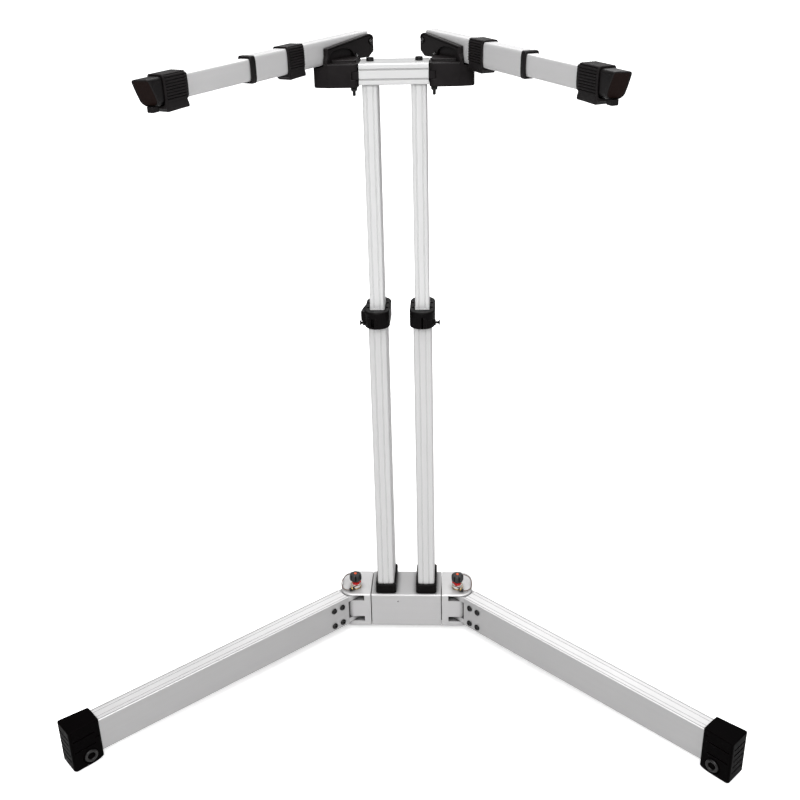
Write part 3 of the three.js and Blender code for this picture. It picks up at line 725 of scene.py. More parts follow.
def hex_screw(name, radius, height, shank_radius, shank, flats, depth, at, axis, dome=False):
    """Screw with a hexagonal socket, drawn along +z from its seat at z 0, then turned to axis."""
    steps = 36

    def hexagon(z):
        ring = []
        for j in range(steps):
            a = 2 * pi * j / steps
            r = (flats / 2) / cos((a + pi / 6) % (pi / 3) - pi / 6)
            ring.append((r * cos(a), r * sin(a), z))
        return ring

    rim = 0.25
    profile = [(shank_radius, -shank), (shank_radius, 0), (radius - rim, 0), (radius, rim)]
    if dome:
        mouth = flats * 0.72
        for i in range(1, 6):
            a = i / 6 * pi / 2
            profile.append((radius * cos(a) + mouth * (1 - cos(a)), rim + (height - rim) * sin(a)))
        profile.append((mouth, height))
    else:
        profile += [(radius, height - 0.9), (radius - rim, height - 0.3),
                    (radius - 0.9, height), (flats * 0.75, height)]
    rings = [circle(r, z, steps) for r, z in profile]
    rings += [hexagon(height - 0.15), hexagon(height - depth)]
    verts, faces = loft(rings)
    return make_object(name, aimed(verts, at, axis), faces)


# ---------------------------------------------------------------- base block and hinge blocks

BLOCK_HALF = 70.0
BLOCK_GAP = 0.6  # from each end of the block to its hinge housing's side of the joint
HINGE_END = box("hinge_block_right")[1][0]
HINGE_OVERLAP = 8  # drawn into the block, then cut off
SLOT_X, SLOT_BACK = 83.6, 4.2
HINGE_SLOTS = ((69.2, 80.6), (20.8, 31.8))  # low and high z
PAD_Y, PAD_TOP = 13.5, 9.6
PAD_GROOVES = [-4 + 5.8 * k for k in range(7)]  # y


def build_block():
    outline = rounded_rect(BLOCK_BACK - BLOCK_FRONT, BLOCK_TOP - BLOCK_BOTTOM, (4, 4, 3, 3), 8,
                           0, (BLOCK_TOP + BLOCK_BOTTOM) / 2)
    hollow = rounded_rect(76.4, 61.2, 2, 4, 0.6, 46.6)
    end = BLOCK_HALF - BLOCK_GAP
    body = tube("base_centre_block", outline, hollow, -end, end, "x", chamfer=0.8)
    sockets = []
    for _, sign in SIDES:
        hole = rounded_rect(LOWER_W + 0.6, LOWER_D + 0.6, 4.3, 6, sign * COLUMN_X, COLUMN_Y)
        sockets.append(prism("cut", hole, 70, 90))
    dimple = lathe("cut", [(0, 3), (1.1, 3), (1.1, 0.5), (1.5, -0.2), (0, -0.2)], 20,
                   at=(-16.3, BLOCK_FRONT, 67.5), axis=(0, 1, 0))
    cut(body, *sockets, dimple)
    finish(body, "alu_block", "base", "centre_block")


def build_pad():
    outline = rounded_rect(236, 47, 6, 6, 0, PAD_Y)
    pad = prism("base_rubber_strip", outline, 0, PAD_TOP, round0=1.2, round1=0.6)
    cut(pad, *[prism("cut", rounded_rect(228, 1.6, 0.7, 3, 0, y), -0.5, 0.9)
               for y in PAD_GROOVES])
    finish(pad, "rubber", "base", "base_pad")


def build_hinge(side, sign):
    start = BLOCK_HALF - HINGE_OVERLAP
    width = HINGE_END - BLOCK_HALF + HINGE_OVERLAP
    square = 0.01
    radii = (26, square, square, 21) if sign > 0 else (square, 26, 21, square)
    outline = rounded_rect(width, BLOCK_BACK - BLOCK_FRONT, radii, 12, sign * (start + width / 2))
    housing = prism(f"hinge_housing_{side}", outline, BLOCK_BOTTOM, BLOCK_TOP,
                    round0=2.2, round1=4.0, steps=6)
    cut(housing, block("cut", sign * 40, sign * (BLOCK_HALF + BLOCK_GAP), -60, 60, 0, 100))
    soften(housing, width=0.8, angle=50)
    slots = [block("cut", sign * SLOT_X, sign * 150, -70, SLOT_BACK, *heights)
             for heights in HINGE_SLOTS]
    cut(housing, *slots, rod("cut", 10.6, 0, 100, sign * PIN_X, PIN_Y))
    finish(housing, "alu_hinge", "base", f"hinge_block_{side}")


build_block()
build_pad()
for side, sign in SIDES:
    build_hinge(side, sign)

# ---------------------------------------------------------------- lock pins, washers, lanyards

# z, radius, depth of the valleys between the lobes
KNOB_LEVELS = [
    (95.2, 4.3, 0.0), (95.3, 4.9, 0.0), (96.4, 5.4, 0.0), (97.4, 6.6, 0.15), (98.6, 8.6, 0.6),
    (99.8, 10.4, 1.3), (100.9, 11.4, 1.8), (102.4, 11.85, 2.1), (106, 11.95, 2.2),
    (109.4, 11.9, 2.2), (111.2, 11.6, 2.1), (112.4, 11.0, 1.8), (113.2, 10.1, 1.3),
    (113.8, 8.9, 0.7), (114.3, 7.2, 0.25), (114.5, 5.2, 0.0), (114.5, 3.6, 0.0),
    (114.3, 3.2, 0.0), (114.0, 3.0, 0.0),
]
KNOB_STEPS, KNOB_LOBES = 126, 7
# profiles of (radius, z)
BUTTON = [(0, 113.6), (2.8, 113.6), (2.8, 114.7), (2.6, 115.05), (2.0, 115.3), (1.0, 115.42),
          (0, 115.45)]
RED_RING = [(0, 90.9), (6.6, 90.9), (7.1, 91.2), (7.3, 91.8), (7.3, 92.9), (7.0, 93.5),
            (6.3, 93.9), (5.0, 94.1), (5.0, 95.2), (0, 95.3)]
CLEAR_RING = [(0, 84.9), (9.0, 84.9), (9.5, 85.3), (9.6, 87.6), (9.1, 89.6), (8.3, 90.7),
              (7.6, 90.9), (0, 90.95)]
SHAFT = [(0, 12), (3.6, 12), (4.4, 12.8), (5, 14.2), (5, 40), (4.75, 40.4), (4.75, 42),
         (5, 42.4), (5, 86.3), (0, 86.3)]
HOOP = [(9.6 + 0.5 * cos(a * pi / 6), 90.6 + 0.5 * sin(a * pi / 6)) for a in range(12)]
WASHER = [(5.4, 83.7), (5.6, 83.5), (10.3, 83.5), (10.6, 83.7), (10.6, 84.5), (10.3, 84.8),
          (5.6, 84.8), (5.4, 84.6)]
# profiles of (radius, distance from the sleeve's start)
CRIMP = [(0, 0), (2.3, 0), (2.9, 0.6), (3.0, 2.4), (2.6, 2.9), (2.6, 3.1), (2.6, 5.4),
         (2.6, 5.6), (3.0, 6.1), (3.0, 8.4), (2.8, 9.2), (2.0, 9.8), (0, 9.8)]
CRIMP_BAND = [(2.5, 3.0), (2.95, 3.1), (3.05, 3.6), (3.05, 4.9), (2.95, 5.4), (2.5, 5.5)]
# paths of (x, y, z) on the right side
CRIMP_ENDS = [(104.6, -27.2, 89.0), (113.6, -31.8, 87.0)]
LANYARD = [(106.5, -28.2, 88.6), (112.4, -31.5, 87), (121.5, -29.5, 86.2), (128.6, -20.8, 86.6),
           (130.6, -9, 88.2), (128.6, 1.5, 91), (122.5, 9, 94.4), (114, 10.6, 96.4),
           (108.4, 5.2, 97.2)]
NECK_LOOP = [(106.2, -28.0, 88.7), (104.2, -26.2, 90.0), (100.6, -24.6, 91.6),
             (97.6, -23.2, 92.6)]


def catmull(points, per_span):
    """Smooth curve through the points."""
    p = [np.array(q, float) for q in points]
    p = [2 * p[0] - p[1]] + p + [2 * p[-1] - p[-2]]
    out = []
    for a, b, c, d in zip(p, p[1:], p[2:], p[3:]):
        for k in range(per_span):
            t = k / per_span
            out.append(0.5 * ((2 * b) + (-a + c) * t + (2 * a - 5 * b + 4 * c - d) * t * t
                              + (-a + 3 * b - 3 * c + d) * t ** 3))
    out.append(p[-2])
    return np.array(out)


def strand(path, radius, turns, phase):
    """Round wire that winds round the path at its own radius."""
    tangents = np.gradient(path, axis=0)
    tangents /= np.linalg.norm(tangents, axis=1)[:, None]
    side = np.cross(tangents[0], (0, 0, 1.0))
    side /= np.linalg.norm(side)
    sides = []
    for tangent in tangents:
        side = side - tangent * (side @ tangent)
        side /= np.linalg.norm(side)
        sides.append(side.copy())
    sides = np.array(sides)
    uppers = np.cross(tangents, sides)
    a = np.linspace(0, turns * 2 * pi, len(path)) + phase
    centres = path + sides * (radius * np.cos(a))[:, None] + uppers * (radius * np.sin(a))[:, None]
    section = circle(radius, 0, 8)
    rings = [[tuple(c + u * x + v * y) for x, y, _ in section]
             for c, u, v in zip(centres, sides, uppers)]
    return make_object("part", *loft(rings))


def rope(name, path, radius, turns):
    """Three twisted strands."""
    return merge(name, *[strand(path, radius, turns, k * 2 * pi / 3) for k in range(3)])


def knob_body(side, sign, x, y):
    rings = []
    for z, radius, valley in KNOB_LEVELS:
        ring = []
        for j in range(KNOB_STEPS):
            a = 2 * pi * j / KNOB_STEPS
            dip = abs(sin(KNOB_LOBES / 2 * (a + sign * 0.35)))
            r = radius - 1.3 * valley * exp(-((dip / 0.32) ** 2))
            ring.append((x + r * cos(a), y + r * sin(a), z))
        rings.append(ring)
    return make_object(f"knob_body_{side}", *loft(rings))


def build_pin(side, sign):
    body = f"lock_pin_{side}"
    at = (sign * PIN_X, PIN_Y, 0)

    def turned(name, profile, material, slot, angle=45, steps=40, at=at, axis=(0, 0, 1)):
        part = lathe(f"{name}_{side}", profile, steps, at, axis)
        finish(part, material, body, angle=angle)

    knob = knob_body(side, sign, at[0], at[1])
    finish(knob, "knob", body, body, angle=50)
    turned("knob_button", BUTTON, "orange", "knob", angle=50, steps=32)
    turned("knob_red_ring", RED_RING, "red", "knob")
    outline = rounded_rect(4.4, 4.0, 1.6, 5, at[0] - sign * 8.4, at[1] + 1.6)
    tab = prism(f"knob_red_tab_{side}", outline, 92.2, 97.0, round0=1.2, round1=1.4)
    finish(tab, "red", body, angle=45)
    turned("knob_clear_ring", CLEAR_RING, "clear", "knob")
    turned("lock_pin_shaft", SHAFT, "steel", "steel", angle=30, steps=32)
    turned("knob_wire_hoop", HOOP, "brass", "wire", angle=60, steps=48)
    washer = lathe(f"brass_washer_{side}", WASHER, at=at)
    finish(washer, "brass", "base", f"pin_washer_{side}", angle=30)

    def mirrored(points):
        return [(sign * x, y, z) for x, y, z in points]

    lanyard = rope(f"wire_lanyard_{side}", catmull(mirrored(LANYARD), 22), 0.52, turns=24)
    finish(lanyard, "wire", body, f"lanyard_{side}", angle=60)
    # crimp sleeve with a brass band, and a short wire back to the neck of the knob
    start, end = np.array(mirrored(CRIMP_ENDS))
    along = (end - start) / np.linalg.norm(end - start)
    aim = dict(angle=40, steps=32, at=tuple(start), axis=tuple(along))
    turned("crimp_sleeve", CRIMP, "black_steel", "black_steel", **aim)
    turned("crimp_band", CRIMP_BAND, "brass", "brass", **aim)
    loop = rope(f"wire_neck_loop_{side}", catmull(mirrored(NECK_LOOP), 14), 0.46, turns=3)
    finish(loop, "wire", body, angle=60)


for side, sign in SIDES:
    build_pin(side, sign)

# ---------------------------------------------------------------- legs
# A leg's own frame starts at its lock pin: x along the leg, z up.

LEG_ANGLE = 47  # degrees outwards from straight ahead
LEG_W, LEG_Z0, LEG_Z1, LEG_WALL = 35.9, 18.3, 81.7, 2.8
LEG_MID, LEG_H = (LEG_Z0 + LEG_Z1) / 2, LEG_Z1 - LEG_Z0
LEG_START, LEG_END = 33.4, 612
LEG_SCREW_X, LEG_SCREW_Z = (49.4, 69.3), (30.4, 65.3)
LEG_GROOVES = [(-14, 0.6, 0.7), (-6.5, 0.5, 0.5), (6.5, 0.5, 0.5), (14, 0.6, 0.7)]

CAP_START, CAP_END, CAP_W0, CAP_W1, CAP_TOP = 567.5, 623, 39.6, 46.7, 87.2
CAP_MID, CAP_LENGTH = (CAP_START + CAP_END) / 2, CAP_END - CAP_START
CAP_ROUND = 1.9
SOLE_IN, SOLE_UP = 5.5, 6  # bevel round the sole
HEEL_X, HEEL_Z = 589, 9.8  # where the underside starts to rise, and how high it gets
HEEL = [(CAP_START - 5, -5), (HEEL_X + 4, -5), (HEEL_X + 4, -0.02), (HEEL_X - 2, 0.9),
        (HEEL_X - 9, 3.4), (CAP_START, HEEL_Z), (CAP_START - 5, HEEL_Z + 2)]
RING_D, RING_HOLE, RING_X, RING_Z = 24, 13, 590, 21.5
RING_SUNK = 0.9


def leg_matrix(sign):
    heading = atan2(-cos(radians(LEG_ANGLE)), sign * sin(radians(LEG_ANGLE)))
    return move(sign * PIN_X, PIN_Y, 0) @ Matrix.Rotation(heading, 4, "Z")


def build_leg_tube(side, inward, matrix):
    section = fluted(LEG_W, LEG_H, 2.0, LEG_GROOVES, [], "t")
    outer = [(x, y + LEG_MID) for x, y in section]
    inner = rounded_rect(LEG_W - 2 * LEG_WALL, LEG_H - 2 * LEG_WALL, 1.5, 4, 0, LEG_MID)
    leg = tube(f"leg_extrusion_{side}", outer, inner, LEG_START, LEG_END, "x", chamfer=0.45)
    body = f"leg_{side}"
    places = [(x, z) for x in LEG_SCREW_X for z in LEG_SCREW_Z]
    cut(leg, *[rod("cut", 6.6, inward * 10, inward * 25, x, z, 20, "y") for x, z in places])
    finish(leg, "alu_leg", body, f"leg_tube_{side}", angle=30, matrix=matrix)
    for number, (x, z) in enumerate(places, 1):
        bolt = hex_screw(f"leg_bolt_{side}_{number}", radius=6.0, height=3.4, shank_radius=2.9,
                         shank=10, flats=4.0, depth=2.0, dome=True,
                         at=(x, inward * (LEG_W / 2 + 0.12), z), axis=(0, inward, 0))
        finish(bolt, "black_steel", body, f"leg_screw_{side}_{number}",
               angle=32, matrix=matrix)


def cap_width(x):
    return CAP_W1 - (CAP_W1 - CAP_W0) * (CAP_END - x) / CAP_LENGTH


def cap_ring(d, z):
    """Cap outline moved inwards by d, tapering towards the leg."""
    outline = rounded_rect(CAP_LENGTH - 2 * d, CAP_W1 - 2 * d, (4, 2.5, 2.5, 4), 8, CAP_MID, 0)
    return [(x, y * cap_width(x) / CAP_W1, z) for x, y in outline]


def cap_channel(face, x, width, z, height, radius, depth):
    """Channel cutter lying on the flared side face, -1 or 1 along y."""
    outline = rounded_rect(width, height, radius, 5, 0, z)
    tool = prism("cut", outline, *sorted((-face * depth, face * 4)), axis="y")
    lean = atan2((CAP_W1 - CAP_W0) / 2, CAP_LENGTH)
    return placed(tool, move(x, face * cap_width(x) / 2, 0) @ Matrix.Rotation(face * lean, 4, "Z"))


def build_foot(side, inward, matrix):
    """Flared boot with channels on its upright faces and a ring on its inward face."""
    rings = [cap_ring(SOLE_IN + 0.6, 0), cap_ring(SOLE_IN, 0.15),
             cap_ring(SOLE_IN * 0.55, SOLE_UP * 0.42), cap_ring(0.7, SOLE_UP - 0.3),
             cap_ring(0, SOLE_UP + 1.2)]
    for k in range(5):
        a = k * pi / 8
        rings.append(cap_ring(CAP_ROUND * (1 - cos(a)), CAP_TOP - CAP_ROUND + CAP_ROUND * sin(a)))
    boot = make_object(f"foot_boot_{side}", *loft(rings))
    # the underside rises towards the leg in a soft curve
    cut(boot, prism("cut", HEEL, -40, 40, axis="y"))

    tools = []
    for face in (-1, 1):
        for z in (65.5, 43):
            tools.append(cap_channel(face, CAP_MID + 3, 40, z, 2.4, radius=1.0, depth=2.0))
        z = 75 if face < 0 else 54
        tools.append(cap_channel(face, CAP_START + 7, 9, z, 2.0, radius=0.9, depth=1.0))
    for z in range(71, 22, -12):
        outline = rounded_rect(33, 3.0, 1.3, 5, 0, z)
        tools.append(prism("cut", outline, CAP_END - 0.9, CAP_END + 3, axis="x"))
    # round recess that the ring sits in
    ring_face = cap_width(RING_X) / 2
    floor = ring_face - RING_SUNK
    tools.append(rod("cut", 31, inward * floor, inward * (ring_face + 3),
                     RING_X + 1.0, RING_Z + 2.0, 48, "y"))
    cut(boot, *tools)
    hollow = rounded_rect(LEG_W + 0.5, LEG_H + 0.5, 2.2, 4, 0, LEG_MID)
    cut(boot, prism("cut", hollow, CAP_START - 5, LEG_END + 0.4, axis="x"))

    profile = []
    for i in range(24):
        a = 2 * pi * i / 24
        radius = (RING_D + RING_HOLE) / 4 + (RING_D - RING_HOLE) / 4 * cos(a)
        profile.append((radius, floor + 2.5 * sin(a)))
    ring = lathe(f"foot_ring_{side}", profile, 48, (RING_X, 0, RING_Z), (0, inward, 0))
    body = f"leg_{side}"
    finish(ring, "ring", body, angle=40, matrix=matrix)
    finish(boot, "cap", body, f"foot_cap_{side}", angle=28, matrix=matrix)


for side, sign in SIDES:
    build_leg_tube(side, -sign, leg_matrix(sign))
    build_foot(side, -sign, leg_matrix(sign))

# ---------------------------------------------------------------- columns, sockets, clamp collars

LOWER_WALL, LOWER_Z0, LOWER_Z1 = 3, 16.2, 668
UPPER_WALL, UPPER_Z0, UPPER_Z1 = 2.4, 508, 1089.8
SOCKET_W, SOCKET_D, SOCKET_TOP = 40.4, 78, 103.5
COLLAR_Z0, COLLAR_Z1, COLLAR_R, COLLAR_HALF, COLLAR_Y = 645, 675.5, 22.4, 48.5, 0.5
COLLAR_FRONT = COLLAR_Y - COLLAR_HALF + COLLAR_R  # centre of the front half-round
THUMB_Y, THUMB_Z = -26, 650.8
LOWER_SECTION = fluted(LOWER_W, LOWER_D, 4, grooves((-5.7, 5.7), 1.5, 0.8),
                       grooves((-17.5, 0, 17.5), 0.9, 0.7), crown=0.7)
UPPER_SECTION = fluted(UPPER_W, UPPER_D, 3, grooves((-5.3, 5.3), 1.4, 0.8),
                       grooves((-14, 0, 14), 0.9, 0.7), crown=0.6)
# (x, y) of the lug on the left collar's outer side
LUG = [(-40, 18), (-61.8, 16), (-66.5, -6), (-69, -24), (-68, -30), (-60, -34), (-40, -34)]
# (radius, distance along the screw): shank, waist and a domed head
THUMB_PROFILE = [
    (0, 0), (1.9, 0), (1.9, 8.0), (2.2, 8.3), (2.75, 8.9), (2.75, 9.4), (2.2, 10.4),
    (2.15, 11.1), (2.9, 12.0), (4.3, 12.6), (4.65, 13.1), (4.65, 14.0), (4.2, 14.5),
    (2.4, 14.8), (0, 14.85),
]


def at_column(points, sign):
    return [(x + sign * COLUMN_X, y + COLUMN_Y) for x, y in points]


def build_tubes(side, sign):
    hollow = rounded_rect(LOWER_W - 2 * LOWER_WALL, LOWER_D - 2 * LOWER_WALL, 2, 4)
    lower = tube(f"lower_column_{side}", at_column(LOWER_SECTION, sign), at_column(hollow, sign),
                 LOWER_Z0, LOWER_Z1)
    finish(lower, "alu_low", "base", f"lower_tube_{side}", angle=30)

    # the upper column has a chamber in front and behind, and a round bore between them
    upper = prism(f"upper_column_{side}", at_column(UPPER_SECTION, sign), UPPER_Z0, UPPER_Z1)
    cut_span = (UPPER_Z0 - 5, UPPER_Z1 + 5)
    x = UPPER_W / 2 - UPPER_WALL
    for face in (1, -1):
        wall, boss, web = face * (UPPER_D / 2 - UPPER_WALL), face * 5.2, face * 2.6
        chamber = [(-x, web), (-5.5, web), (-4.4, boss), (4.4, boss), (5.5, web), (x, web),
                   (x, wall), (-x, wall)]
        cut(upper, prism("cut", at_column(chamber, sign), *cut_span))
    cut(upper, rod("cut", 6.4, *cut_span, sign * COLUMN_X, COLUMN_Y, 24))
    finish(upper, "alu_up", "upper_column", f"upper_tube_{side}", angle=30)

    outline = rounded_rect(SOCKET_W, SOCKET_D, 6, 10, sign * COLUMN_X, COLUMN_Y)
    hole = at_column(inset(ccw(LOWER_SECTION), -0.3), sign)
    socket = tube(f"column_boot_{side}", outline, hole, BLOCK_TOP + 0.1, SOCKET_TOP, chamfer=1.2)
    finish(socket, "plastic", "base", f"column_socket_{side}", angle=40)


def collar_nub(x, across, width, depth, proud, z0, z1):
    """Upright nub standing proud of the collar's front, across from the column centre x."""
    front = COLLAR_FRONT - sqrt(max(0, COLLAR_R ** 2 - across ** 2))
    outline = rounded_rect(width, depth, 1.2, 4, x + across, front + depth / 2 - proud)
    return prism("part", outline, z0, z1, round0=1.2, round1=1.2)


def left_collar_parts(x):
    parts = [
        prism("part", LUG, 655, 673, round0=1.5, round1=1.5),
        # eye that the thumb screw passes through
        rod("part", 11.5, -66, -50, THUMB_Y, THUMB_Z + 1, 28, "x"),
        collar_nub(x, -14.6, width=4.4, depth=8, proud=2.2, z0=648, z1=666),
        collar_nub(x, -1.4, width=3.2, depth=8, proud=1.4, z0=649, z1=664),
    ]
    recess = rounded_rect(6.2, 14, 1.0, 4, x - 7.4, COLLAR_Y - 44.5)
    return parts, [prism("cut", recess, 648.5, 664.5, round0=0.8, round1=0.8)]


def right_collar_parts(x):
    parts = [
        collar_nub(x, 5.0, width=6.0, depth=9, proud=2.2, z0=647.5, z1=666),
        rod("part", 10.5, 52, 64.0, THUMB_Y, THUMB_Z, 28, "x"),
    ]
    slit = block("cut", x - 0.6, x + 1.6, COLLAR_Y - 60, COLLAR_Y - COLLAR_HALF + 3.4,
                 COLLAR_Z0 + 1.5, COLLAR_Z1 - 8)
    # shallow channel round the outer front
    band = arc(x, COLLAR_FRONT, COLLAR_R + 4, -62, 58, 14)
    band += arc(x, COLLAR_FRONT, COLLAR_R - 0.9, -62, 58, 14)[::-1]
    return parts, [slit, prism("cut", band, 652, 661)]


def build_collar(side, sign):
    x = sign * COLUMN_X
    outline = arc(x, COLLAR_Y + COLLAR_HALF - COLLAR_R, COLLAR_R, 0, 180, 20)
    outline += arc(x, COLLAR_FRONT, COLLAR_R, 180, 180, 20)
    ring = prism("part", outline, COLLAR_Z0, COLLAR_Z1, round0=1.6, round1=3.0, steps=6)
    parts, cutters = (left_collar_parts if sign < 0 else right_collar_parts)(x)
    cut(ring, *cutters)
    collar = merge(f"clamp_ring_{side}", ring, *parts)
    fuse(collar, voxel=0.5)

    def opening(width, depth, radius, z0, z1):
        return prism("cut", rounded_rect(width, depth, radius, 6, x, COLUMN_Y), z0, z1)

    above, below = COLLAR_Z1 + 5, COLLAR_Z0 - 5
    holes = [rod("cut", 6.6, COLLAR_Z1 - 9, above, x + hole_x, COLUMN_Y + hole_y, 24)
             for hole_x in (-16.4, 16.4) for hole_y in (8, -17)]
    cut(collar,
        opening(LOWER_W + 0.7, LOWER_D + 0.7, 4.3, below, LOWER_Z1 + 0.3),
        opening(UPPER_W + 0.9, UPPER_D + 0.9, 3, below, above),
        opening(UPPER_W + 3.6, UPPER_D + 3.6, 4.5, COLLAR_Z1 - 3.2, above),
        rod("cut", 4.7, sign * 50, sign * 80, THUMB_Y, THUMB_Z, 20, "x"),
        *holes)
    finish(collar, "plastic", "base", f"clamp_collar_{side}", angle=0)


def build_liners(side, sign):
    """Pale nylon rims that show under and over the collar."""
    for name, section, outset, inner_outset, z0, z1, chamfer in (
        ("lower", LOWER_SECTION, 0.75, 0.15, COLLAR_Z0 - 3.2, COLLAR_Z0 + 1, 0.3),
        ("upper", UPPER_SECTION, 0.5, 0.12, COLLAR_Z1 - 5, COLLAR_Z1 + 2.4, 0.12),
    ):
        outer, inner = [at_column(inset(ccw(section), -d), sign) for d in (outset, inner_outset)]
        liner = tube(f"collar_liner_{name}_{side}", outer, inner, z0, z1, chamfer=chamfer)
        finish(liner, "nylon", "base", angle=40)


def build_thumb_screw(side, sign):
    at = (sign * 56.6, THUMB_Y, THUMB_Z)
    screw = lathe(f"thumb_screw_{side}", THUMB_PROFILE, 32, at, (sign, 0, 0))
    # crossed slots in the head
    slots = []
    for k in range(2):
        slot = block("cut", sign * 69.9, sign * 73, THUMB_Y - 0.5, THUMB_Y + 0.5,
                     THUMB_Z - 6, THUMB_Z + 6)
        turn = Matrix.Rotation(pi * k / 2, 4, "X")
        slots.append(placed(slot, move(0, THUMB_Y, THUMB_Z) @ turn @ move(0, -THUMB_Y, -THUMB_Z)))
    cut(screw, *slots)
    finish(screw, "black_steel", f"thumb_screw_{side}",
           f"clamp_thumb_screw_{side}", angle=32)


for side, sign in SIDES:
    build_tubes(side, sign)
    build_collar(side, sign)
    build_liners(side, sign)
    build_thumb_screw(side, sign)

# ---------------------------------------------------------------- crossbar

BAR_GROOVES = (1068.9, 1084.3)  # z
BAR_WALL = 3.5


def build_crossbar():
    depth, height = BAR_Y1 - BAR_Y0, BAR_Z1 - BAR_Z0
    y, z = (BAR_Y0 + BAR_Y1) / 2, (BAR_Z0 + BAR_Z1) / 2
    section = fluted(depth, height, 2.2, [], grooves([g - z for g in BAR_GROOVES], 1.5, 1.5))
    outer = [(py + y, pz + z) for py, pz in section]
    inner = rounded_rect(depth - 2 * BAR_WALL, height - 2 * BAR_WALL, 1, 2, y, z)
    bar = tube("crossbar_extrusion", outer, inner, -BAR_HALF, BAR_HALF, "x", chamfer=0.4)
    for _, sign in SIDES:
        x = sign * COLUMN_X
        opening = rounded_rect(UPPER_W + 0.6, UPPER_D + 0.6, 3.2, 6, x, COLUMN_Y)
        cut(bar, prism("cut", opening, BAR_Z0 - 5, BAR_Z0 + 8),
            rod("cut", 6.8, BAR_Z1 - 8, BAR_Z1 + 5, x, COLUMN_Y))
    finish(bar, "alu_bar", "upper_column", "crossbar", angle=30)
    for side, sign in SIDES:
        bolt = hex_screw(f"crossbar_bolt_{side}", radius=6.2, height=6.0, shank_radius=2.9,
                         shank=26, flats=5.4, depth=3.2,
                         at=(sign * COLUMN_X, COLUMN_Y, BAR_Z1 + 0.15), axis=(0, 0, 1))
        finish(bolt, "black_steel", "upper_column", f"crossbar_screw_{side}",
               angle=32)


build_crossbar()

# ---------------------------------------------------------------- arms
# An arm's own frame: x runs forward and outward along the arm, z up across it.

ARM_ORIGIN, ARM_ANGLE, ARM_FALL = (120.4, -20.8, 1110.9), 28, 1.5  # angles in degrees
ARM_WALL = 2.4
INNER_W, INNER_H, INNER_WALL = 19.4, 31.6, 2
ARM_START, ARM_END, INNER_START, INNER_END = -130, 180, 64, 386

SLEEVE_START = {"left": 330, "right": 323}
FACE_AT, FACE_RISE, FACE_TURN = 401.4, 0.44, 0.39  # slanted end face: place and two slopes
TIP_W, TIP_BULGE, TIP_R_TOP, TIP_R_LOW = 23.2, 0.8, 4.2, 9
# (inset, distance behind the end face): the raised rim, and the label inside it
TIP_RIM = [(0.0, 1.4), (0.12, 0.7), (0.45, 0.2), (1.0, 0.0), (1.5, 0.05), (1.7, 0.35), (1.8, 0.8)]
TIP_LABEL = [(2.4, 1.6), (2.4, 0.75), (2.6, 0.5), (3.0, 0.42)]

REAR_GRIP = {"left": (59.5, 102), "right": (25, 68.5)}
FRONT_GRIP = {"left": (335, 380), "right": (330, 375.5)}
GRIP_POINTS, GRIP_RIB_PITCH = 520, 3.9

PIVOT_X, PIVOT_Y = 65, -29
HUB_Z0, HUB_Z1, HUB_TOP, HUB_STEP = 1056.5, 1090, 1093.7, 1098
HUB_X0, HUB_X1, HUB_Y0, HUB_Y1 = 57.2, 130, -37, 37
HUB_CHAMFER = [(105, -37), (124.5, -31.6), (128.4, -29), (130, -24)]
HUB_SLOT_Z = (1068.9, 1082.1)
# side plate outlines, (x, z) in the arm's frame
PLATE_FRONT = [(5.6, 6.9), (5.6, -4), (8, -12), (8, -24)]
PLATE_ARCH = [
    (-1.5, -24), (-1.5, -8), (-4, -3.5), (-9, -0.2), (-18, 1.6), (-33, 2.2), (-48, 1.2),
    (-60, -1.8), (-68, -6), (-72, -11), (-73.5, -16), (-73.5, -24),
]
PLATE_REAR = [
    (-88, -24), (-92, -20.5), (-118, -22), (-134, -14), (-134, 6), (-131, 12), (-122, 15.2),
    (-113, 15.3), (-78, 12.7), (-32, 9.7),
]
PLATE_RIM = [
    (5.6, -10), (5.6, 6.9), (-32, 9.7), (-78, 12.7), (-113, 15.3), (-122, 15.2), (-131, 12),
    (-134, 6), (-131.6, 5.4), (-129, 10.2), (-121.5, 12.9), (-113, 13), (-78, 10.4),
    (-32, 7.4), (3.0, 4.8), (3.0, -10),
]
RIM_GROOVE = [
    (3.0, -9), (3.0, 4.8), (-32, 7.4), (-78, 10.4), (-113, 13), (-121.5, 12.9), (-129, 10.2),
    (-131.4, 5.4), (-130.2, 5.0), (-127.9, 9.2), (-121.2, 11.6), (-113, 11.7), (-78, 9.1),
    (-32, 6.1), (1.8, 3.6), (1.8, -9),
]
PLATE_SCREWS = ((-124, 3), (-80, -14.6))
PLATE_FACE = 20.2
# (radius, z)
PIVOT_PROFILE = [
    (0, 1043.2), (1.6, 1043.2), (2.3, 1043.9), (2.6, 1044.8), (2.6, 1050.4), (4.4, 1051.4),
    (5.0, 1052.2), (5.3, 1053.4), (5.3, 1055.6), (4.9, 1056.2), (3, 1056.2),
    (3, HUB_TOP - 1.2), (2.2, HUB_TOP - 0.4), (0, HUB_TOP - 0.4),
]


def arm_matrix(sign):
    turn, fall = radians(ARM_ANGLE), radians(ARM_FALL)
    along = Vector((sign * sin(turn) * cos(fall), -cos(turn) * cos(fall), -sin(fall)))
    across = Vector((cos(turn), sign * sin(turn), 0))
    upward = along.cross(across).normalized()
    matrix = Matrix((along, across, upward)).transposed().to_4x4()
    matrix.translation = Vector((sign * ARM_ORIGIN[0], *ARM_ORIGIN[1:])) * MM
    return matrix


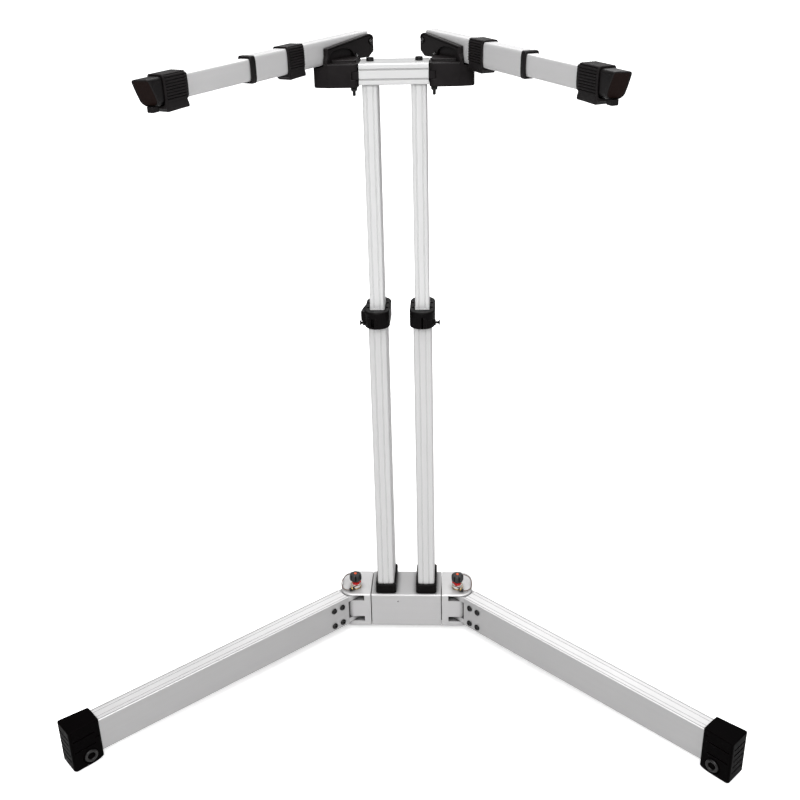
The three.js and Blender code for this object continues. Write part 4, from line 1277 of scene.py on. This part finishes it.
def build_arm_tubes(side, matrix):
    outer = tube(f"arm_extrusion_{side}", arm_outline(ARM_W, ARM_H),
                 arm_outline(ARM_W - 2 * ARM_WALL, ARM_H - 2 * ARM_WALL - 0.4),
                 ARM_START, ARM_END, "x", chamfer=0.4)
    finish(outer, "alu_arm", f"arm_{side}", f"arm_tube_outer_{side}",
           angle=40, matrix=matrix)
    slide = tube(f"arm_slide_{side}", arm_outline(INNER_W, INNER_H),
                 arm_outline(INNER_W - 2 * INNER_WALL, INNER_H - 2 * INNER_WALL),
                 INNER_START, INNER_END, "x", chamfer=0.3)
    finish(slide, "alu_slide", f"arm_extension_{side}",
           f"arm_tube_inner_{side}", angle=40, matrix=matrix)


def build_arm_ring(side, matrix):
    """End ring of the outer tube, its front rim rolled over."""
    start, end = ARM_END + 0.1, ARM_END + 10.5
    levels = [(start, 0.5), (start + 0.4, 0.05), (start + 1.0, 0.0), (end - 2.2, 0.0),
              (end - 1.3, 0.12), (end - 0.6, 0.5), (end - 0.15, 1.1), (end, 1.8), (end, 2.6)]
    outline = arm_outline(ARM_W + 1.4, ARM_H + 1.4)
    hole = arm_outline(INNER_W + 0.7, INNER_H + 0.7)
    rings = [[(x, y, z) for y, z in inset(outline, d)] for x, d in levels]
    rings += [[(x, y, z) for y, z in hole] for x in (end - 0.6, start)]
    ring = make_object(f"arm_sleeve_ring_{side}", *loft(rings, caps=False, closed=True))
    finish(ring, "endcap", f"arm_{side}", f"arm_ring_{side}", angle=32,
           matrix=matrix)


def tip_section():
    """Rounded rectangle whose upright sides bulge a little."""
    radii = (TIP_R_TOP, TIP_R_TOP, TIP_R_LOW, TIP_R_LOW)
    corners = rounded_rect(TIP_W, ARM_H, radii, 10)
    heights = [14 - k for k in range(24)]
    points = corners[:22] + [(-TIP_W / 2, z) for z in heights]
    points += corners[22:] + [(TIP_W / 2, z) for z in heights[::-1]]
    section = []
    for y, z in points:
        if abs(y) > TIP_W / 2 - 5:
            y += copysign(TIP_BULGE * (1 - (z / (ARM_H / 2)) ** 2), y)
        section.append((y, z))
    return section


def build_tip(side, inward, matrix):
    """End cap: sleeve, slanted face with a raised rim, nub underneath, plain label."""
    section = tip_section()

    def upright(x, d):
        return [(x, y, z) for y, z in inset(section, d)]

    def slanted(d, back):
        return [(FACE_AT + FACE_RISE * z - inward * FACE_TURN * y - back, y, z)
                for y, z in inset(section, d)]

    body, start = f"arm_extension_{side}", SLEEVE_START[side]
    stations = [(start, 0.5), (start + 0.5, 0.0), (345, 0), (365, 0), (384, 0)]
    rings = [upright(*s) for s in stations] + [slanted(*s) for s in TIP_RIM]
    sleeve = make_object("part", *loft(rings))
    nub = prism("part", rounded_rect(14, 12, 3, 5, 391, 0), -26, -18.2, round0=1.3, round1=0.3)
    tip = merge(f"arm_tip_{side}", sleeve, nub)
    hollow = arm_outline(INNER_W + 0.6, INNER_H + 0.6)
    cut(tip, prism("cut", hollow, start - 5, INNER_END + 0.4, axis="x"))
    finish(tip, "endcap", body, f"arm_end_cap_{side}", matrix=matrix)
    label = make_object(f"tip_label_{side}", *loft([slanted(*s) for s in TIP_LABEL]))
    finish(label, "label", body, angle=1, matrix=matrix)


def grip(name, start, end):
    """Rubber sleeve drawn along x: lengthwise ribs on top and both sides, smooth thick sole
    with a lip that flares at the back."""
    base, length = resample(arm_outline(ARM_W + 4.6, ARM_H + 4.6, 60), GRIP_POINTS)
    tangent = np.roll(base, -1, 0) - np.roll(base, 1, 0)
    normal = np.stack([tangent[:, 1], -tangent[:, 0]], 1)
    normal /= np.linalg.norm(normal, axis=1)[:, None]
    ribs = round(length / GRIP_RIB_PITCH)
    # broad rib, narrow valley
    wave = np.abs(np.sin(pi * ribs * np.arange(GRIP_POINTS) / GRIP_POINTS)) ** 0.6
    height = base[:, 1]
    ribbed = np.clip((height + 15.0) / 1.6, 0, 1)  # no ribs on the sole
    topside = np.clip((height - 19.5) / 1.2, 0, 1)  # shallower ribs on top
    low = np.clip((-height - 15.0) / 6.6, 0, 1)

    def ring(x, rib, grow):
        depth = 1.5 * rib * ribbed * (1 - 0.45 * topside)
        out = base + normal * ((wave - 1.0) * depth + 0.35 + grow)[:, None]
        # sole: thicker underneath, waisted where it leaves the sleeve, lip spreads to the back
        drop = 6.0 + 1.2 * (x - start) / (end - start)
        if x > end - 6:
            drop *= max(0.25, (end - x) / 6)
        out[:, 1] -= drop * low ** 1.2
        flare = max(0.0, 1 - (x - start) / 10.0)
        out[:, 0] += np.sign(out[:, 0]) * flare * 0.8 * low * (np.abs(out[:, 0]) > 4)
        back = low ** 1.3 * 3.2 * flare
        waist = np.exp(-((height + 15.5) / 3.0) ** 2) * flare * 1.8
        return [(float(a), float(y), float(z)) for a, (y, z) in zip(x - back + waist, out)]

    # x, rib depth factor, growth of the section
    stations = [(start, 0.75, -0.45), (start + 0.35, 1, -0.1)]
    stations += [(start + x, 1, 0) for x in (0.9, 3, 6, 9)]
    stations += [(start + 9 + k * (end - start - 15.5) / 5, 1, 0) for k in range(1, 6)]
    stations += [(end - 4.2, 1, 0), (end - 3.6, 0.5, -0.2), (end - 3.1, 0.0, -0.45),
                 (end - 2.2, 0, -0.1), (end - 1.0, 0, 0.1), (end - 0.3, 0, -0.25), (end, 0, -0.8)]
    rings = [ring(*station) for station in stations]
    bore, _ = resample(arm_outline(ARM_W + 0.5, ARM_H + 0.5, 60), GRIP_POINTS)
    for x in (end, (start + end) / 2, start):
        rings.append([(x, float(y), float(z)) for y, z in bore])
    return make_object(name, *loft(rings, caps=False, closed=True))


def build_grips(side, matrix):
    for where, span, body in (("rear", REAR_GRIP[side], f"rear_grip_{side}"),
                              ("front", FRONT_GRIP[side], f"arm_extension_{side}")):
        sleeve = grip(f"{where}_grip_sleeve_{side}", *span)
        finish(sleeve, "rubber", body, f"{where}_grip_{side}", angle=60, matrix=matrix)


def hub_parts(sign, inward, matrix):
    """Hub beside the crossbar, with a stepped top and a slot at the pivot."""
    width = HUB_X1 - HUB_X0
    outline = rounded_rect(width, HUB_Y1 - HUB_Y0, (20, 3, 7.9, 0), 10, HUB_X0 + width / 2, 0)
    plan = [(sign * x, y) for x, y in outline[:-1] + HUB_CHAMFER]
    hub = prism("part", plan, HUB_Z0, HUB_Z1, round0=2.0, round1=1.5)
    tall = prism("part", plan, HUB_Z0 + 8, HUB_TOP, round0=1.0, round1=1.4)
    outline = rounded_rect(60, 52, 5, 5, sign * 90.5, 8)
    step = prism("part", outline, HUB_TOP - 2, HUB_STEP, round1=1.6)
    # the raised parts stop at the plane of the side plate
    for part in (tall, step):
        keep = prism("cut", rounded_rect(300, 106.6, 0, 1, -50, inward * (13.4 + 53.3)), -60, 0)
        cut(part, placed(keep, matrix), operation="INTERSECT")
    x = sign * PIVOT_X
    for part in (hub, tall):
        cut(part, block("cut", sign * 50, x, HUB_Y0 - 5, -20.6, *HUB_SLOT_Z),
            rod("cut", 16.4, *HUB_SLOT_Z, x, PIVOT_Y, 36))
    return [hub, tall, step]


def build_bracket(side, sign, matrix):
    inward = -sign

    def plate(name, outline, near, far, rounds=(0, 0)):
        """Plate between two distances from the arm's centre plane; rounds: near and far rims."""
        ends = sorted((inward * near, inward * far))
        return placed(prism(name, outline, *ends, *rounds[::inward], axis="y"), matrix)

    def hole(diameter, near, far, x, z, steps):
        return placed(rod("cut", diameter, inward * near, inward * far, x, z, steps, "y"), matrix)

    parts = hub_parts(sign, inward, matrix)
    parts.append(plate("part", PLATE_FRONT + PLATE_REAR, 13.2, 16.6))
    parts.append(plate("part", PLATE_FRONT + PLATE_ARCH + PLATE_REAR, 16, 20))
    # rim along the plate's upper edge and both ends
    parts.append(plate("part", PLATE_RIM, 19.5, 21.2, rounds=(0, 0.9)))
    bracket = merge(f"arm_bracket_casting_{side}", *parts)
    fuse(bracket, voxel=0.6)
    cut(bracket,
        rod("cut", 6.6, 1000, 1200, sign * PIVOT_X, PIVOT_Y, 24),
        plate("cut", RIM_GROOVE, 19.0, 23),
        # shallow seat round the upper screw
        hole(11.4, 19.2, 23, *PLATE_SCREWS[0], 32),
        *[hole(4.6, 5, 40, x, z, 16) for x, z in PLATE_SCREWS])
    finish(bracket, "cast", f"arm_{side}", f"arm_bracket_{side}", angle=0)


def build_bracket_bolts(side, sign, matrix):
    body, axis = f"arm_{side}", (0, -sign, 0)
    pivot = lathe(f"pivot_bolt_{side}", PIVOT_PROFILE, 30, (sign * PIVOT_X, PIVOT_Y, 0))
    finish(pivot, "black_steel", body, f"arm_pivot_bolt_{side}", angle=32)
    for number, (x, z) in enumerate(PLATE_SCREWS, 1):
        at = (x, -sign * PLATE_FACE, z)
        bolt = hex_screw(f"arm_bolt_{side}_{number}", radius=4.4, height=2.7, shank_radius=1.9,
                         shank=12, flats=4.0, depth=1.4, dome=True, at=at, axis=axis)
        finish(bolt, "black_steel", body, f"arm_screw_{side}_{number}", angle=32,
               matrix=matrix)
        # bright pip in the socket
        profile = [(0, 1.2), (1.75, 1.2), (1.75, 1.75), (1.2, 2.1), (0, 1.7)]
        pip = lathe(f"arm_bolt_socket_{side}_{number}", profile, 24, at, axis)
        finish(pip, "steel", body, angle=25, matrix=matrix)


for side, sign in SIDES:
    matrix = arm_matrix(sign)
    build_arm_tubes(side, matrix)
    build_arm_ring(side, matrix)
    build_tip(side, -sign, matrix)
    build_grips(side, matrix)
    build_bracket(side, sign, matrix)
    build_bracket_bolts(side, sign, matrix)

# ---------------------------------------------------------------- CAD parts that stay


def refinish(name, material, width):
    """Welded, with softened edges and its own finish."""
    ob = NODES[name]
    weld = ob.modifiers.new("weld", "WELD")
    weld.merge_threshold = 0.00002
    bevel = ob.modifiers.new("edge", "BEVEL")
    bevel.width = width * MM
    bevel.segments = 2
    bevel.limit_method = "ANGLE"
    bevel.angle_limit = radians(35)
    for face in ob.data.polygons:
        face.use_smooth = False
    ob.data.materials.clear()
    ob.data.materials.append(MATERIALS[material])


for side, _ in SIDES:
    refinish(f"leg_bracket_{side}", "alu_hinge", width=0.5)
for side, _ in SIDES:
    refinish(f"crossbar_hinge_{side}", "cast", width=0.3)

# ---------------------------------------------------------------- floor, world, lights, camera

FLOOR_HALF, FLOOR_Z = 60000, -0.2


def grey(value):
    return (value,) * 3


def build_floor():
    corners = ((-1, -1), (1, -1), (1, 1), (-1, 1))
    verts = [(x * FLOOR_HALF, y * FLOOR_HALF, FLOOR_Z) for x, y in corners]
    floor = make_object("floor", verts, [(0, 1, 2, 3)])
    m = Material("pale_floor")
    rays = m.add("ShaderNodeLightPath").outputs
    # nearly white to the camera, darker to the light it bounces
    pale = m.mix(m.remap(m.noise(1.5), to=(0, 1)), grey(0.94), grey(0.96))
    bounce = m.mix(rays["Is Glossy Ray"], grey(0.45), grey(0.72))
    color = m.mix(rays["Is Camera Ray"], bounce, pale)
    # a glow that grows with the distance in metres, for the camera only
    distance = m.add("ShaderNodeVectorMath", operation="LENGTH")
    m.link(m.coord.outputs["Object"], distance.inputs[0])
    far = m.remap(distance.outputs["Value"], to=(0.45, 1.2), span=(0.3, 1.4))
    glow = m.calc("MULTIPLY", far, rays["Is Camera Ray"])
    m.bsdf.inputs["Emission Color"].default_value = (1, 1, 1, 1)
    m.set(color=color, roughness=0.9, specular=0.1, emission=glow)
    floor.data.materials.append(m.material)


def build_world():
    """Grey studio: paler overhead, darker to the left and right, brighter towards the front."""
    world = bpy.data.worlds.new("studio")
    SCENE.world = world
    world.use_nodes = True
    g = Graph(world.node_tree)
    out = g.add("ShaderNodeOutputWorld")
    background = g.add("ShaderNodeBackground")
    coord = g.add("ShaderNodeTexCoord")
    split = g.add("ShaderNodeSeparateXYZ")
    ramp = g.add("ShaderNodeValToRGB")
    g.link(coord.outputs["Generated"], split.inputs[0])
    g.link(split.outputs["Z"], ramp.inputs[0])
    stops = ramp.color_ramp.elements
    stops[0].position, stops[0].color = 0.0, (0.34, 0.34, 0.342, 1)
    stops[1].position, stops[1].color = 0.75, (0.80, 0.80, 0.80, 1)
    stops.new(0.25).color = (0.56, 0.56, 0.562, 1)

    sideways = g.calc("ABSOLUTE", split.outputs["X"], 0.0)
    side = g.calc("SUBTRACT", 1.0, g.calc("MULTIPLY", sideways, 0.82))
    front = g.calc("ADD", 0.85, g.calc("MULTIPLY", split.outputs["Y"], -0.30))
    lit = g.calc("MULTIPLY", side, front)
    # the camera itself sees an even, overbright backdrop
    camera_ray = g.add("ShaderNodeLightPath").outputs["Is Camera Ray"]
    lighting = g.calc("MULTIPLY", lit, g.calc("SUBTRACT", 1.0, camera_ray))
    strength = g.calc("ADD", lighting, g.calc("MULTIPLY", camera_ray, 3.0))
    g.link(ramp.outputs[0], background.inputs[0])
    g.link(strength, background.inputs[1])
    g.link(background.outputs[0], out.inputs[0])


def area_light(name, at, target, size, power):
    """Places and sizes in metres, power in watts."""
    light = bpy.data.lights.new(name, "AREA")
    light.shape = "RECTANGLE"
    light.size, light.size_y = size
    light.energy = power
    ob = link_object(name, light)
    ob.location = at
    ob.rotation_euler = (Vector(target) - Vector(at)).to_track_quat("-Z", "Y").to_euler()


def build_camera(at, lens, pitch, yaw, roll):
    """at and lens in mm, angles in radians. Looks back along +Y and down."""
    forward = Vector((-sin(yaw) * cos(pitch), cos(yaw) * cos(pitch), -sin(pitch)))
    level = Vector((cos(yaw), sin(yaw), 0))
    upright = level.cross(forward)
    right = level * cos(roll) + upright * sin(roll)
    up = -level * sin(roll) + upright * cos(roll)
    camera = bpy.data.cameras.new("view")
    camera.sensor_width = 36
    camera.sensor_fit = "HORIZONTAL"
    camera.lens = lens
    camera.clip_start, camera.clip_end = 0.05, 200
    ob = link_object("view", camera)
    matrix = Matrix((right, up, -forward)).transposed().to_4x4()
    matrix.translation = Vector(at) * MM
    ob.matrix_world = matrix
    SCENE.camera = ob


build_floor()
build_world()
area_light("key", at=(-0.05, -2.7, 2.5), target=(0, 0, 0.75), size=(2.4, 1.5), power=62)
area_light("top", at=(0.1, -0.2, 3.6), target=(0, -0.1, 0.6), size=(3.0, 2.4), power=72)
area_light("rim", at=(0.2, 2.6, 2.6), target=(0, 0, 0.8), size=(2.4, 1.4), power=16)
build_camera(at=(99.27, -1795.13, 1297.96), lens=47.655, pitch=0.42321, yaw=0.05787,
             roll=-0.02504)

SCENE.view_settings.view_transform = "Standard"
SCENE.view_settings.look = "None"
SCENE.view_settings.exposure = 0.0

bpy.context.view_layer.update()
